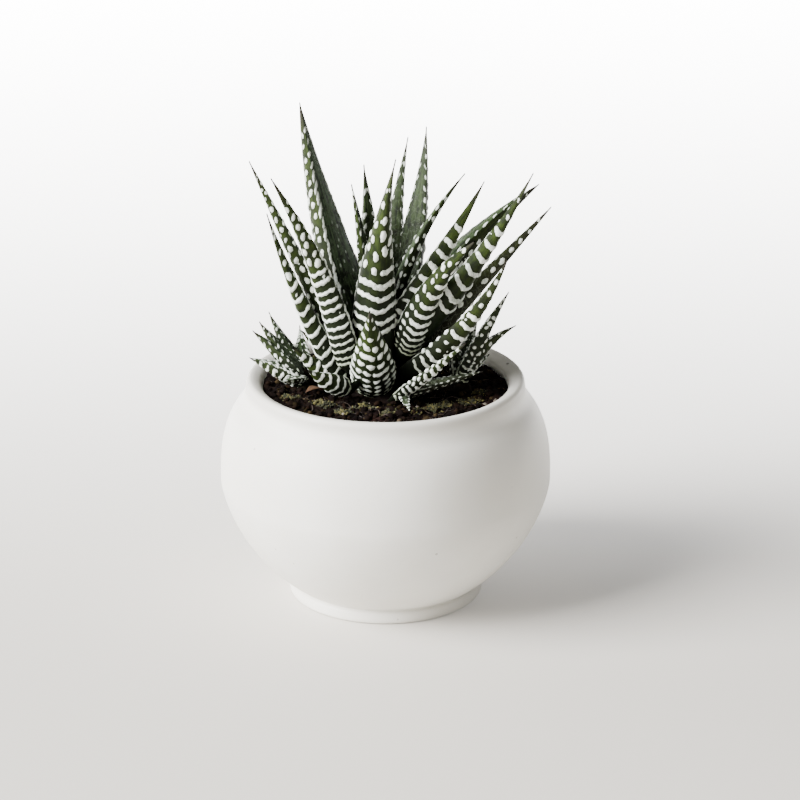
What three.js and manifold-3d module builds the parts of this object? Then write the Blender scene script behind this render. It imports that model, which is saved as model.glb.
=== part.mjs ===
// Potted haworthia: a banded rosette with two pups, in soil, in a round white ceramic pot.
// Millimetres, +Z up. The origin is on the pot's axis, on the surface that the pot stands on.
import * as THREE from "three";
import { mergeVertices } from "three/addons/utils/BufferGeometryUtils.js";
import Module from "manifold-3d";

const wasm = await Module();
wasm.setup();

// Pot: sizes of the bowl, its foot and its lip
const POT_RADIUS = 55;
const BELLY_HEIGHT = 40.9;
const WALL = 4.8;
const FACETS = 40;
const FOOT_RADIUS = 31.3;
const FOOT_INNER_RADIUS = 28.4;
const FOOT_BEAD_RADIUS = 32.5;
const FOOT_BEAD_HEIGHT = 4.4;
const FOOT_BEAD_ROUNDING = 0.5;
const FOOT_RECESS = 1.5;
const BODY_START = 5.8;
const NECK_HEIGHT = 69.8;
const LIP_CREST_HEIGHT = 75.7;
const LIP_CREST_RADIUS = 43.5;
const LIP_OUTER_RADIUS = 46.2;
const LIP_OUTER_HEIGHT = 73.4;
const LIP_ROUNDING = 1.6;
const LIP_FALL = 0.5;
const MOUTH_RADIUS = 40.7;
const MOUTH_HEIGHT = 73.7;
const FLOOR_HEIGHT = 6.5;
const FLOOR_RADIUS = 29;
const FLOOR_BEND_RADIUS = 34;
const FLOOR_BEND_HEIGHT = 9.9;
const FLOOR_CORNER = 16;

// Curves of the bowl under and over its belly: the height each runs out in, and the powers that round it
const UNDER_BELLY = { span: 45.4, inner: 1.5, outer: 2.26 };
const OVER_BELLY = { span: 37.25, inner: 2.68, outer: 3.84 };

// Soil: its level, its fall from left to right, its mound and its lumps
const SOIL_HEIGHT = 72.5;
const SOIL_FALL = 0.024;
const MOUND_HEIGHT = 0.9;
const MOUND_RADIUS = 24.5;
const LUMP_HEIGHT = 0.3;
const SMALL_LUMP_HEIGHT = 0.2;

// Clearances that the pieces keep: between pot and soil, and between a stem and its hole
const CLEARANCE = 0.3;
const STEM_CLEARANCE = 0.39;

// Leaves: the section, the taper and the root that every leaf shares. Ratios are shares of the leaf's width.
const SECTION_ANGLES = [0, 42, 90, 138, 180, 236, 304];
const THICKNESS_RATIO = 0.6;
const INNER_RATIO = 0.07;
const THICKNESS_TAPER = 0.75;
const WIDTH_TAPER = 0.95;
const WIDTH_SWELL = 0.25;
const ROOT_DEPTH = 8;
const ROOT_INWARD = 0.3;
const ROOT_RING = 0.4;
const ROOT_END = 0.35;
const FOOT_ROUNDING = 4;
const TIP_HALF_WIDTH = 0.42;
const TIP_THICKNESS = 0.5;
const TIP_INNER = 0.22;
const TIP_RINGS = [0.86, 0.94, 1];

// Bands: their spacing along the leaf, how far they stand out, and how far they sag towards the foot
const BAND_PITCH = 4.6;
const BAND_RELIEF = 0.45;
const BAND_SAG = 0.16;
const LAST_BAND = 0.74;
const HIDDEN_BAND_PITCH = 8.28;

const rad = THREE.MathUtils.degToRad;
const UP = new THREE.Vector3(0, 0, 1);

// Stems: where each plant stands, how wide its stem is at the soil, how deep it goes and how far it rises
const STEM_FACETS = 20;
const STEM_TAPER = 0.7;
const STEM_SHOULDER = 0.6;
const CROWN = { x: -1, y: -2, radius: 18.4, depth: 10, rise: 18 };
const LEFT_PUP = { x: -27, y: -4, radius: 5, depth: 6, rise: 6 };
const RIGHT_PUP = { x: 24, y: -3, radius: 5, depth: 6, rise: 6 };

// Leaves of the main rosette. Azimuth is from +X towards +Y, lean is from upright, in degrees. Reach is from
// the stem's axis to the leaf's foot, side is the foot's shift across that line, and height is the foot's over
// the soil. Bow and sway bend the leaf at its middle, and twist turns its faces about its length. Root is how
// far the leaf goes on below its foot, and rounding is how far above its foot it begins to close.
const ROSETTE_LEAVES = [
  { name: "tall_left", azimuth: 150, lean: 15.5, length: 82, width: 16, reach: 9, height: 12, bow: 2.6,
    twist: 4, thickness: 0.68 },
  { name: "left_outer", azimuth: 188, lean: 24, length: 78, width: 10, reach: 11, height: 6 },
  { name: "left_banded", azimuth: 209, lean: 21.8, length: 69.8, width: 11, reach: 13.9, height: 10.6,
    bow: -2.6, rounding: 10 },
  { name: "left_low", azimuth: 196, lean: 21.7, length: 64.2, width: 7.6, reach: 14.5, height: 1.5, bow: 1.6,
    twist: -30 },
  { name: "centre_banded", azimuth: 292, lean: 14, length: 70, width: 15.5, reach: 5.5, side: -4.3,
    height: 14.5, bow: -0.6, sway: -1.8, twist: 14 },
  { name: "front_short", azimuth: 267, lean: 27, length: 36, width: 15.8, reach: 9.5, side: -2.5, height: 1.5,
    thickness: 0.44, root: 4, rounding: 8 },
  { name: "right_front_banded", azimuth: 312, lean: 35.3, length: 53.5, width: 11, reach: 11, side: 1.7,
    height: 14.5, bow: -3.3, twist: 16, rounding: 8 },
  { name: "right_banded", azimuth: 334, lean: 34.5, length: 81, width: 10.5, reach: 7, height: 11.4, bow: 2.7,
    twist: 28 },
  { name: "right_plain", azimuth: 18, lean: 44.5, length: 69, width: 16, reach: 5.5, height: 14, bow: -3.5,
    twist: 8 },
  { name: "mid_right_banded", azimuth: 331, lean: 30.5, length: 65, width: 11.5, reach: 4, height: 18,
    bow: 0.6 },
  { name: "thin_right", azimuth: 8, lean: 25, length: 59, width: 7, reach: 2, height: 17, bow: -4 },
  { name: "back_right", azimuth: 62, lean: 21, length: 71, width: 13, reach: 5.5, height: 13.5, bow: 1,
    sway: -2.4 },
  { name: "back_centre", azimuth: 74, lean: 23, length: 65.4, width: 9.5, reach: 5, height: 15.5, sway: 1 },
  { name: "back_left_dark", azimuth: 120, lean: 7, length: 57, width: 11, reach: 5, height: 15 },
  { name: "back_left_thin", azimuth: 155, lean: 7, length: 53, width: 8, reach: 4.5, height: 14, bow: -1 },
  { name: "right_outer", azimuth: 352, lean: 40, length: 71, width: 10, reach: 9, height: 8.2, twist: 16 },
  { name: "right_lower", azimuth: 328, lean: 38, length: 57, width: 9.3, reach: 12, height: 6, bow: 3.5,
    sway: 1, twist: 14 },
  { name: "low_left_upper", azimuth: 193, lean: 47, length: 18.6, width: 8.5, reach: 16.2, height: 2.1,
    bow: 0.6, twist: -50, thickness: 0.5 },
  { name: "low_left_under", azimuth: 206, lean: 56, length: 16.5, width: 9, reach: 17.4, side: 8.6,
    height: 3.1, bow: 0.6, twist: -60, thickness: 0.42, root: 3.6, rounding: 8 },
  { name: "back_low_right", azimuth: 40, lean: 43, length: 45, width: 13, reach: 11, height: 3,
    hidden: true },
  { name: "back_low_centre", azimuth: 68, lean: 40, length: 44, width: 13, reach: 10, height: 5,
    hidden: true },
  { name: "back_low", azimuth: 94, lean: 47, length: 48, width: 13, reach: 11, height: 3.5, hidden: true },
  { name: "back_low_left", azimuth: 131, lean: 44, length: 47, width: 13, reach: 11, height: 3,
    hidden: true },
  { name: "left_back_low", azimuth: 175, lean: 45, length: 22, width: 12, reach: 11, height: 1.8,
    hidden: true },
  { name: "back_mid", azimuth: 104, lean: 27, length: 46, width: 12, reach: 7, height: 10, hidden: true },
  { name: "right_back_mid", azimuth: 36, lean: 27, length: 30, width: 12, reach: 7, height: 10,
    hidden: true },
  { name: "heart", azimuth: 300, lean: 6, length: 38, width: 9, reach: 1, height: 18, hidden: true },
];

// Leaves of the small offset at the front right, which grows from the main stem's side
const FRONT_OFFSET = { x: 5, y: -14 };
const OFFSET_LEAVES = [
  { name: "offset_up", azimuth: 329, lean: 48, length: 34, width: 6.8, reach: 1.85, side: -4.5, height: 2.2,
    bow: 0.6, thickness: 0.5, rounding: 7 },
  { name: "offset_side", azimuth: 12, lean: 77, length: 26, width: 7, reach: 2, side: -2.5, height: 2,
    thickness: 0.4 },
  { name: "offset_front", azimuth: 278, lean: 87.5, length: 19, width: 3.6, reach: 3, height: 2.2,
    thickness: 0.36 },
];

// Leaves of the two pups
const LEFT_PUP_LEAVES = [
  { name: "out", azimuth: 186, lean: 62, length: 18, width: 11, reach: 1.5, height: 2, thickness: 0.5 },
  { name: "side", azimuth: 172, lean: 47, length: 21, width: 8, reach: 1.2, height: 4 },
  { name: "mid", azimuth: 160, lean: 41, length: 21.8, width: 8, reach: 1, height: 4, bow: 0.6 },
  { name: "up", azimuth: 140, lean: 38, length: 22.6, width: 6.5, reach: 1, height: 4.5, bow: 0.8 },
  { name: "front", azimuth: 246, lean: 76, length: 15, width: 6, reach: 2, height: 3.2, thickness: 0.4 },
  { name: "back", azimuth: 96, lean: 46, length: 18, width: 7, reach: 1.5, height: 3.5 },
];
const RIGHT_PUP_LEAVES = [
  { name: "up", azimuth: 348, lean: 26, length: 34, width: 8, reach: 1.5, height: 3.5, bow: -0.6 },
  { name: "low", azimuth: 354, lean: 42, length: 25.5, width: 7.5, reach: 1.5, height: 3.2, bow: -2 },
  { name: "side", azimuth: 24, lean: 56, length: 12, width: 6.5, reach: 1.2, height: 3.2, thickness: 0.48 },
  { name: "back", azimuth: 66, lean: 44, length: 22, width: 7, reach: 1.2, height: 3.5 },
  { name: "heart", azimuth: 130, lean: 14, length: 20, width: 6, reach: 0.8, height: 4 },
];

// The withered leaf: it lies on the soil in front of the left pup
const WITHERED_SPOT = { x: -21.5, y: -11 };
const WITHERED_LEAF = { azimuth: 232, lean: 86, length: 7.5, width: 4.5, reach: 0, height: 1.25, bow: -1,
  thickness: 0.17, relief: 0 };

// A closed mesh as a solid that can be joined and cut
function solidFrom(geometry) {
  const bare = geometry.clone();
  bare.deleteAttribute("normal");
  bare.deleteAttribute("uv");
  const merged = mergeVertices(bare, 1e-4);
  const mesh = new wasm.Mesh({
    numProp: 3,
    vertProperties: new Float32Array(merged.attributes.position.array),
    triVerts: new Uint32Array(merged.index.array),
  });
  mesh.merge();
  return new wasm.Manifold(mesh);
}

// A solid as a mesh geometry again
function geometryFrom(solid) {
  const mesh = solid.getMesh();
  const geometry = new THREE.BufferGeometry();
  geometry.setAttribute("position", new THREE.BufferAttribute(new Float32Array(mesh.vertProperties), 3));
  geometry.setIndex(new THREE.BufferAttribute(new Uint32Array(mesh.triVerts), 1));
  geometry.computeVertexNormals();
  return geometry;
}

// A profile of [radius, height] points turned about the Z axis
function turned(profile, facets = FACETS) {
  const points = profile.map(([radius, height]) => new THREE.Vector2(radius, height));
  const geometry = new THREE.LatheGeometry(points, facets);
  geometry.rotateX(Math.PI / 2);
  return geometry;
}

// Radius of the bowl's outside at a height: one rounded curve under the belly and one over it
function bowlRadius(height) {
  const curve = height < BELLY_HEIGHT ? UNDER_BELLY : OVER_BELLY;
  const away = Math.abs(height - BELLY_HEIGHT) / curve.span;
  return POT_RADIUS * (1 - away ** curve.inner) ** (1 / curve.outer);
}

// Evenly spaced values from first to last, both ends included
function steps(first, last, count) {
  return Array.from({ length: count + 1 }, (_, i) => first + ((last - first) * i) / count);
}

// The pot: recessed foot, beaded foot ring, bowl, rolled lip, and the inside down to its floor
function potGeometry() {
  const outside = [
    [0, FOOT_RECESS],
    [FOOT_INNER_RADIUS - 1, FOOT_RECESS],
    [FOOT_INNER_RADIUS, 0],
    [FOOT_RADIUS, 0],
    [FOOT_BEAD_RADIUS - FOOT_BEAD_ROUNDING / 2, FOOT_BEAD_ROUNDING * 1.6],
    [FOOT_BEAD_RADIUS, FOOT_BEAD_HEIGHT / 2],
    [FOOT_BEAD_RADIUS - FOOT_BEAD_ROUNDING, FOOT_BEAD_HEIGHT - FOOT_BEAD_ROUNDING * 1.6],
    [FOOT_RADIUS, FOOT_BEAD_HEIGHT],
  ];
  const lower = steps(BODY_START, BELLY_HEIGHT, 7).map((height) => [bowlRadius(height), height]);
  const upper = steps(BELLY_HEIGHT, NECK_HEIGHT, 6).slice(1).map((height) => [bowlRadius(height), height]);
  const lip = [
    [LIP_OUTER_RADIUS - LIP_ROUNDING / 4, (NECK_HEIGHT * 2 + LIP_OUTER_HEIGHT) / 3],
    [LIP_OUTER_RADIUS, LIP_OUTER_HEIGHT],
    [LIP_CREST_RADIUS + LIP_ROUNDING, LIP_CREST_HEIGHT - LIP_FALL],
    [LIP_CREST_RADIUS, LIP_CREST_HEIGHT],
    [LIP_CREST_RADIUS - LIP_ROUNDING, LIP_CREST_HEIGHT - LIP_FALL],
    [MOUTH_RADIUS, MOUTH_HEIGHT],
  ];
  const inside = cavity(0).reverse();
  return turned([...outside, ...lower, ...upper, ...lip, ...inside]);
}

// The pot's inside from its floor to its neck, drawn inwards by a clearance
function cavity(clearance) {
  const wall = steps(FLOOR_CORNER, NECK_HEIGHT, 5);
  return [
    [0, FLOOR_HEIGHT + clearance],
    [FLOOR_RADIUS - clearance, FLOOR_HEIGHT + clearance],
    [FLOOR_BEND_RADIUS - clearance, FLOOR_BEND_HEIGHT + clearance],
    ...wall.map((height) => [bowlRadius(height) - WALL - clearance, height]),
  ];
}

// Height of the soil: a low mound, a fall from left to right, and gentle lumps
function soilHeight(x, y) {
  const mound = MOUND_HEIGHT * Math.exp(-((x * x + y * y) / MOUND_RADIUS ** 2));
  const lumps = LUMP_HEIGHT * Math.sin(0.42 * x + 0.9) * Math.cos(0.37 * y - 0.4);
  const smallLumps = SMALL_LUMP_HEIGHT * Math.sin(0.81 * x - 0.63 * y);
  return SOIL_HEIGHT + mound - SOIL_FALL * x + lumps + smallLumps;
}

// The soil: it fills the pot to just under the lip, and has a plain hole for each stem
function soilGeometry() {
  const rim = MOUTH_RADIUS - CLEARANCE;
  const top = steps(rim, 0, 6).map((radius) => [radius, SOIL_HEIGHT]);
  const filling = turned([...cavity(CLEARANCE), ...top]);
  const position = filling.attributes.position;
  for (let i = 0; i < position.count; i += 1) {
    if (position.getZ(i) === SOIL_HEIGHT) {
      position.setZ(i, soilHeight(position.getX(i), position.getY(i)));
    }
  }
  let soil = solidFrom(filling);
  for (const plant of [CROWN, LEFT_PUP, RIGHT_PUP]) {
    soil = soil.subtract(solidFrom(stemHole(plant)));
  }
  return geometryFrom(soil);
}

// A stem: a plug that narrows downwards, and over the soil a short cone that the leaves grow from
function stemGeometry(plant) {
  const level = soilHeight(plant.x, plant.y);
  const wide = plant.radius;
  const rise = plant.rise;
  const stem = turned([
    [0, level - plant.depth],
    [wide * STEM_TAPER, level - plant.depth],
    [wide, level - STEM_SHOULDER],
    [wide * 0.86, level + 1],
    [wide * 0.55, level + rise * 0.45],
    [wide * 0.3, level + rise],
    [0, level + rise],
  ], STEM_FACETS);
  return stem.translate(plant.x, plant.y, 0);
}

// The plain hole that a stem's plug stands in
function stemHole(plant) {
  const level = soilHeight(plant.x, plant.y);
  const wide = plant.radius + STEM_CLEARANCE;
  const bottom = level - plant.depth - CLEARANCE;
  const hole = turned([
    [0, bottom],
    [plant.radius * STEM_TAPER + STEM_CLEARANCE, bottom],
    [wide, level - STEM_SHOULDER],
    [wide + STEM_SHOULDER, level + plant.depth],
    [0, level + plant.depth],
  ], STEM_FACETS);
  return hole.translate(plant.x, plant.y, 0);
}

// How wide a leaf is at a share of its length, from 1 near the foot to 0 at the tip
function taper(share) {
  const along = THREE.MathUtils.clamp(share, 0, 1);
  return (1 - along) ** WIDTH_TAPER * (1 + WIDTH_SWELL * Math.sin(Math.PI * along));
}

// Places of the rings along a leaf, each with how far its band stands out
function ringsOf(leaf, rootDepth) {
  const rings = [
    { at: -rootDepth, relief: 0 },
    { at: -rootDepth * ROOT_RING, relief: 0 },
  ];
  const first = leaf.hidden ? 4 : 2;
  const pitch = leaf.hidden ? HIDDEN_BAND_PITCH : BAND_PITCH;
  const relief = leaf.relief ?? BAND_RELIEF;
  for (let at = first; at < leaf.length * LAST_BAND; at += pitch) {
    rings.push({ at, relief });
    rings.push({ at: at + pitch / 2, relief: 0 });
  }
  for (const share of TIP_RINGS) {
    rings.push({ at: leaf.length * share, relief: 0 });
  }
  return rings;
}

// One leaf: thick and rounded on its outer face, nearly flat on its inner face, with raised bands
function leafGeometry(leaf, plant) {
  const azimuth = rad(leaf.azimuth);
  const lean = rad(leaf.lean);
  const bow = leaf.bow ?? 0;
  const sway = leaf.sway ?? 0;
  const side = leaf.side ?? 0;
  const outward = new THREE.Vector3(Math.cos(azimuth), Math.sin(azimuth), 0);
  const sideways = new THREE.Vector3(-Math.sin(azimuth), Math.cos(azimuth), 0);
  const growth = outward.clone().multiplyScalar(Math.sin(lean)).addScaledVector(UP, Math.cos(lean));
  const back = outward.clone().multiplyScalar(Math.cos(lean)).addScaledVector(UP, -Math.sin(lean));
  const level = soilHeight(plant.x, plant.y) + leaf.height;
  const foot = new THREE.Vector3(plant.x, plant.y, level)
    .addScaledVector(outward, leaf.reach)
    .addScaledVector(sideways, side);
  const rootDepth = leaf.root ?? Math.min(ROOT_DEPTH, leaf.reach + 2);
  const rounding = leaf.rounding ?? FOOT_ROUNDING;

  const spine = (at) => {
    const share = Math.max(0, at / leaf.length);
    const bend = 4 * share * (1 - share);
    const inward = at < 0 ? ROOT_INWARD * leaf.reach * (at / rootDepth) ** 2 : 0;
    return foot.clone()
      .addScaledVector(growth, at)
      .addScaledVector(back, bow * bend - inward)
      .addScaledVector(sideways, sway * bend);
  };

  const section = SECTION_ANGLES.map(rad);
  const vertices = [];
  const rings = ringsOf(leaf, rootDepth);
  for (const ring of rings) {
    const share = ring.at / leaf.length;
    const centre = spine(ring.at);
    const tangent = spine(ring.at + 0.5).sub(spine(ring.at - 0.5)).normalize();
    const normal = back.clone().addScaledVector(tangent, -back.dot(tangent)).normalize();
    normal.applyAxisAngle(tangent, -rad(leaf.twist ?? 0));
    const across = normal.clone().cross(tangent);
    const under = THREE.MathUtils.clamp((rounding - ring.at) / (rounding + rootDepth), 0, 1);
    const closing = Math.sqrt(1 - (1 - ROOT_END ** 2) * under ** 2);
    const size = taper(share) * closing;
    const halfWidth = Math.max(TIP_HALF_WIDTH, (leaf.width / 2) * size);
    const fullness = (leaf.thickness ?? THICKNESS_RATIO) * size ** THICKNESS_TAPER * closing;
    const thick = Math.max(TIP_THICKNESS, leaf.width * fullness);
    const inner = Math.max(TIP_INNER, leaf.width * INNER_RATIO * size);
    const relief = ring.relief * Math.min(1, size * 1.6);
    for (const angle of section) {
      const height = Math.sin(angle);
      const outer = Math.max(0, height);
      const point = centre.clone()
        .addScaledVector(across, (halfWidth + relief * 0.5 * Math.abs(Math.cos(angle))) * Math.cos(angle))
        .addScaledVector(normal, (height > 0 ? thick + relief : inner) * height - thick / 2)
        .addScaledVector(tangent, -BAND_SAG * leaf.width * size * outer * outer);
      vertices.push(point);
    }
  }

  const count = section.length;
  const last = (rings.length - 1) * count;
  const faces = [];
  for (let ring = 0; ring < rings.length - 1; ring += 1) {
    for (let i = 0; i < count; i += 1) {
      const a = ring * count + i;
      const b = ring * count + ((i + 1) % count);
      faces.push(a, b, b + count, a, b + count, a + count);
    }
  }
  vertices.push(spine(-rootDepth - 0.6), spine(leaf.length + 0.5));
  for (let i = 0; i < count; i += 1) {
    const next = (i + 1) % count;
    faces.push(vertices.length - 2, next, i);
    faces.push(vertices.length - 1, last + i, last + next);
  }
  const geometry = new THREE.BufferGeometry().setFromPoints(vertices);
  geometry.setIndex(faces);
  return geometry;
}

// A plant: its leaves, each rooted at its own spot, and its stem joined in one solid
function plantGeometry(plant, ...shoots) {
  let body = solidFrom(stemGeometry(plant));
  for (const [spot, leaves] of shoots) {
    for (const leaf of leaves) {
      body = body.add(solidFrom(leafGeometry(leaf, spot)));
    }
  }
  return geometryFrom(body);
}

const potFinish = new THREE.MeshStandardMaterial({ color: 0xe9e8e4, roughness: 0.62, metalness: 0 });
const soilFinish = new THREE.MeshStandardMaterial({ color: 0x2b1c14, roughness: 0.95, metalness: 0 });
const leafFinish = new THREE.MeshStandardMaterial({ color: 0x3f5a35, roughness: 0.5, metalness: 0 });
const witheredFinish = new THREE.MeshStandardMaterial({ color: 0x8a4f2a, roughness: 0.8, metalness: 0 });
const pupFinish = new THREE.MeshStandardMaterial({ color: 0x4a6639, roughness: 0.5, metalness: 0 });

function part(name, geometry, finish) {
  const mesh = new THREE.Mesh(geometry, finish);
  mesh.name = name;
  return mesh;
}

const mainRosette = plantGeometry(CROWN, [CROWN, ROSETTE_LEAVES], [FRONT_OFFSET, OFFSET_LEAVES]);
const pottedHaworthia = new THREE.Group();
pottedHaworthia.add(
  part("pot", potGeometry(), potFinish),
  part("soil", soilGeometry(), soilFinish),
  part("main_rosette", mainRosette, leafFinish),
  part("left_pup", plantGeometry(LEFT_PUP, [LEFT_PUP, LEFT_PUP_LEAVES]), pupFinish),
  part("right_pup", plantGeometry(RIGHT_PUP, [RIGHT_PUP, RIGHT_PUP_LEAVES]), pupFinish),
  part("withered_leaf", leafGeometry(WITHERED_LEAF, WITHERED_SPOT), witheredFinish),
);

export default pottedHaworthia;
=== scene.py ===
import math
import random

import bpy
import numpy as np
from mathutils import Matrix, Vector, noise


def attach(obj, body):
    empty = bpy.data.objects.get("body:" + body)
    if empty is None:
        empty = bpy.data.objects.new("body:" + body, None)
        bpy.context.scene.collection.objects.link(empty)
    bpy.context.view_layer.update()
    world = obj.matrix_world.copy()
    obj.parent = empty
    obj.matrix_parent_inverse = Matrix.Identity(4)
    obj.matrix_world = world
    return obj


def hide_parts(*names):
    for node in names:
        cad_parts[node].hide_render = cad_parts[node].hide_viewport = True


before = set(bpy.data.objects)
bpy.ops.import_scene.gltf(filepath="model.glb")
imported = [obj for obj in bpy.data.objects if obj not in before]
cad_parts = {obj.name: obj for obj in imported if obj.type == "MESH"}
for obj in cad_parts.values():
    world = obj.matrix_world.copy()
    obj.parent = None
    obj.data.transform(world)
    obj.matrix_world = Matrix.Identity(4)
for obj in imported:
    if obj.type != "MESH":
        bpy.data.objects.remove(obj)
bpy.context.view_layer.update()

MM = 0.001
FULL_TURN = 2 * math.pi
QUARTER_TURN = math.pi / 2

# Pot: sizes of the bowl, its foot and its lip
POT_RADIUS = 55
BELLY_HEIGHT = 40.9
WALL = 4.8
FOOT_RADIUS = 31.3
FOOT_INNER_RADIUS = 28.4
FOOT_BEAD_RADIUS = 32.5
FOOT_BEAD_HEIGHT = 4.4
FOOT_RECESS = 1.5
BODY_START = 5.8
NECK_HEIGHT = 69.8
BODY_END = NECK_HEIGHT - 2
LIP_CREST_HEIGHT = 75.7
LIP_CREST_RADIUS = 43.5
LIP_OUTER_RADIUS = 46.2
LIP_OUTER_HEIGHT = 73.4
MOUTH_RADIUS = 40.7
MOUTH_HEIGHT = 73.7
FLOOR_HEIGHT = 6.5
FLOOR_RADIUS = 29
FLOOR_BEND_RADIUS = 34
FLOOR_BEND_HEIGHT = 9.9
FLOOR_CORNER = 16
POT_FACETS = 192
BODY_RINGS = 64
INSIDE_RINGS = 16
SOIL_SIDE_RINGS = 6

# Curves of the bowl under and over its belly: the height each runs out in, and the powers that round it
UNDER_BELLY = {"span": 45.4, "inner": 1.5, "outer": 2.26}
OVER_BELLY = {"span": 37.25, "inner": 2.68, "outer": 3.84}

# Outlines (radius, height) of the foot from its recess up to the bowl, and of the lip from the neck over
# its crest and into the mouth. The small numbers are the steps that round each edge.
FOOT_OUTLINE = [
    (FOOT_INNER_RADIUS - 1.2, FOOT_RECESS),
    (FOOT_INNER_RADIUS - 0.8, 0.3),
    (FOOT_INNER_RADIUS, 0),
    (FOOT_RADIUS, 0),
    (FOOT_BEAD_RADIUS - 0.1, 0.4),
    (FOOT_BEAD_RADIUS + 0.15, FOOT_BEAD_HEIGHT / 2),
    (FOOT_BEAD_RADIUS - 0.2, FOOT_BEAD_HEIGHT - 0.3),
    (FOOT_RADIUS + 0.1, FOOT_BEAD_HEIGHT + 0.1),
    (FOOT_RADIUS + 0.5, FOOT_BEAD_HEIGHT + 0.9),
]
LIP_OUTLINE = [
    (LIP_OUTER_RADIUS + 0.8, NECK_HEIGHT - 0.5),
    (LIP_OUTER_RADIUS + 0.25, NECK_HEIGHT + 1.0),
    (LIP_OUTER_RADIUS, LIP_OUTER_HEIGHT - 0.6),
    (LIP_OUTER_RADIUS - 0.2, LIP_OUTER_HEIGHT + 1.3),
    (LIP_CREST_RADIUS + 1.5, LIP_CREST_HEIGHT),
    (LIP_CREST_RADIUS + 0.2, LIP_CREST_HEIGHT - 0.1),
    (LIP_CREST_RADIUS - 1.5, LIP_CREST_HEIGHT - 0.9),
    (MOUTH_RADIUS + 0.4, LIP_CREST_HEIGHT - 1.8),
    (MOUTH_RADIUS - 0.1, MOUTH_HEIGHT - 1.4),
]

# Flaws of the glaze on the lip: a dark speck, and two fine scratches
LIP_SPECK = (17.5, -40.4, 74.6)
LIP_SPECK_RADIUS = 0.7
LIP_SCRATCHES = [(40.6, 12.9, 75.2), (39, 9.5, 74.4)]
SCRATCH_RADIUS = 0.32
SCRATCH_STRETCH = (0.22, 0.35, 1)

# Soil: its level, its fall from left to right, its mound and its lumps, as the solid has them
SOIL_HEIGHT = 72.5
SOIL_FALL = 0.024
MOUND_HEIGHT = 0.9
MOUND_RADIUS = 24.5
LUMPS = dict(height=0.3, along_x=0.42, start_x=0.9, along_y=0.37, start_y=-0.4)
SMALL_LUMPS = dict(height=0.2, along_x=0.81, along_y=-0.63)
CLEARANCE = 0.3
SOIL_RINGS = 96
SOIL_FACETS = 288

# What roughens the soil: clods and grains, as a relief in mm and a noise of so many layers, and how the
# surface falls away beside the pot's wall
CLODS = dict(relief=1.1, scale=0.16, depth=3.1, layers=3, hard=True)
GRAINS = dict(relief=0.45, scale=0.7, depth=8.4, layers=2, hard=False)
SOIL_EDGE = dict(start=MOUTH_RADIUS - 3.2, width=3, drop=0.6)

# What lies on the soil. Ranges are (least, most), in mm or in radians, and "reach" is how far out a thing
# may lie. Moss spreads round the middle of its patch by shares of the patch's own spread.
STEM_MARGIN = 3
CRUMBS = dict(count=1500, reach=MOUTH_RADIUS - 1.6, least=0.35, spread=1.1, power=2.6, lift=0.2, seed=21)
CRUMB_FORM = dict(columns=7, rows=4, dent=0.24, stretch=((0.7, 1.4), (0.6, 1.0), (0.5, 0.9)), tip=0.7)
FIBRES = dict(count=85, reach=MOUTH_RADIUS - 5, end=MOUTH_RADIUS - 1.4, steps=9, least_steps=4,
              step=(0.5, 1.1), bend=0.35, lift=0.25, thickness=(0.1, 0.24), sides=5, seed=5)
MOSS = dict(density=16, reach=MOUTH_RADIUS - 2, blades=5, length=(0.7, 1.9), thickness=(0.16, 0.34),
            lean=(0.2, 1.2), droop=0.35, spread=(0.5, 0.42), tint=0.2, sides=4, seed=12)
BLADE_SHARES = (0, 0.3, 0.6, 0.85, 1)
STRAND_END_WIDTH = 0.25
STRAND_SIDE = (0.31, 0.2, 0.93)
MOSS_PATCHES = [
    dict(x=-20, y=-22, spread=3.4), dict(x=-14, y=-27, spread=3), dict(x=-6, y=-24, spread=2.6),
    dict(x=1, y=-27, spread=2.6), dict(x=10, y=-25, spread=2.4), dict(x=15, y=-22, spread=3),
    dict(x=20, y=-19, spread=2.6), dict(x=28, y=-15, spread=3.4), dict(x=31, y=-6, spread=2.4),
    dict(x=-31, y=-15, spread=2.4), dict(x=-20, y=22, spread=3.2), dict(x=9, y=31, spread=3.4),
    dict(x=27, y=18, spread=3), dict(x=-34, y=8, spread=2.6),
]

# Leaves: the section, the taper and the root that every leaf shares. Ratios are shares of the leaf's width.
THICKNESS_RATIO = 0.6
INNER_RATIO = 0.07
THICKNESS_TAPER = 0.75
WIDTH_TAPER = 0.95
WIDTH_SWELL = 0.25
ROOT_DEPTH = 8
ROOT_INWARD = 0.3
ROOT_END = 0.35
FOOT_ROUNDING = 4
BAND_SAG = 0.16
TIP_HALF_WIDTH = 0.2
TIP_THICKNESS = 0.3
TIP_INNER = 0.08
ROOT_POINT = 0.6
TIP_POINT = 0.5

# Finish of a leaf: its tone where its row gives none, and how far apart the leaves lie in the skin's patterns
PLAIN_TONE = 0.3
LEAF_PLACES_APART = 3.7

# Mesh of a leaf: how much coarser its inner face is where it is marked and where it is plain, and the
# fewest facets of each face
OUTER_FINENESS = 1.4
MARKED_INNER_GRAIN = 0.85
PLAIN_INNER_GRAIN = 2.4
LEAST_OUTER_FACETS = 12
LEAST_INNER_FACETS = 6

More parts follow.
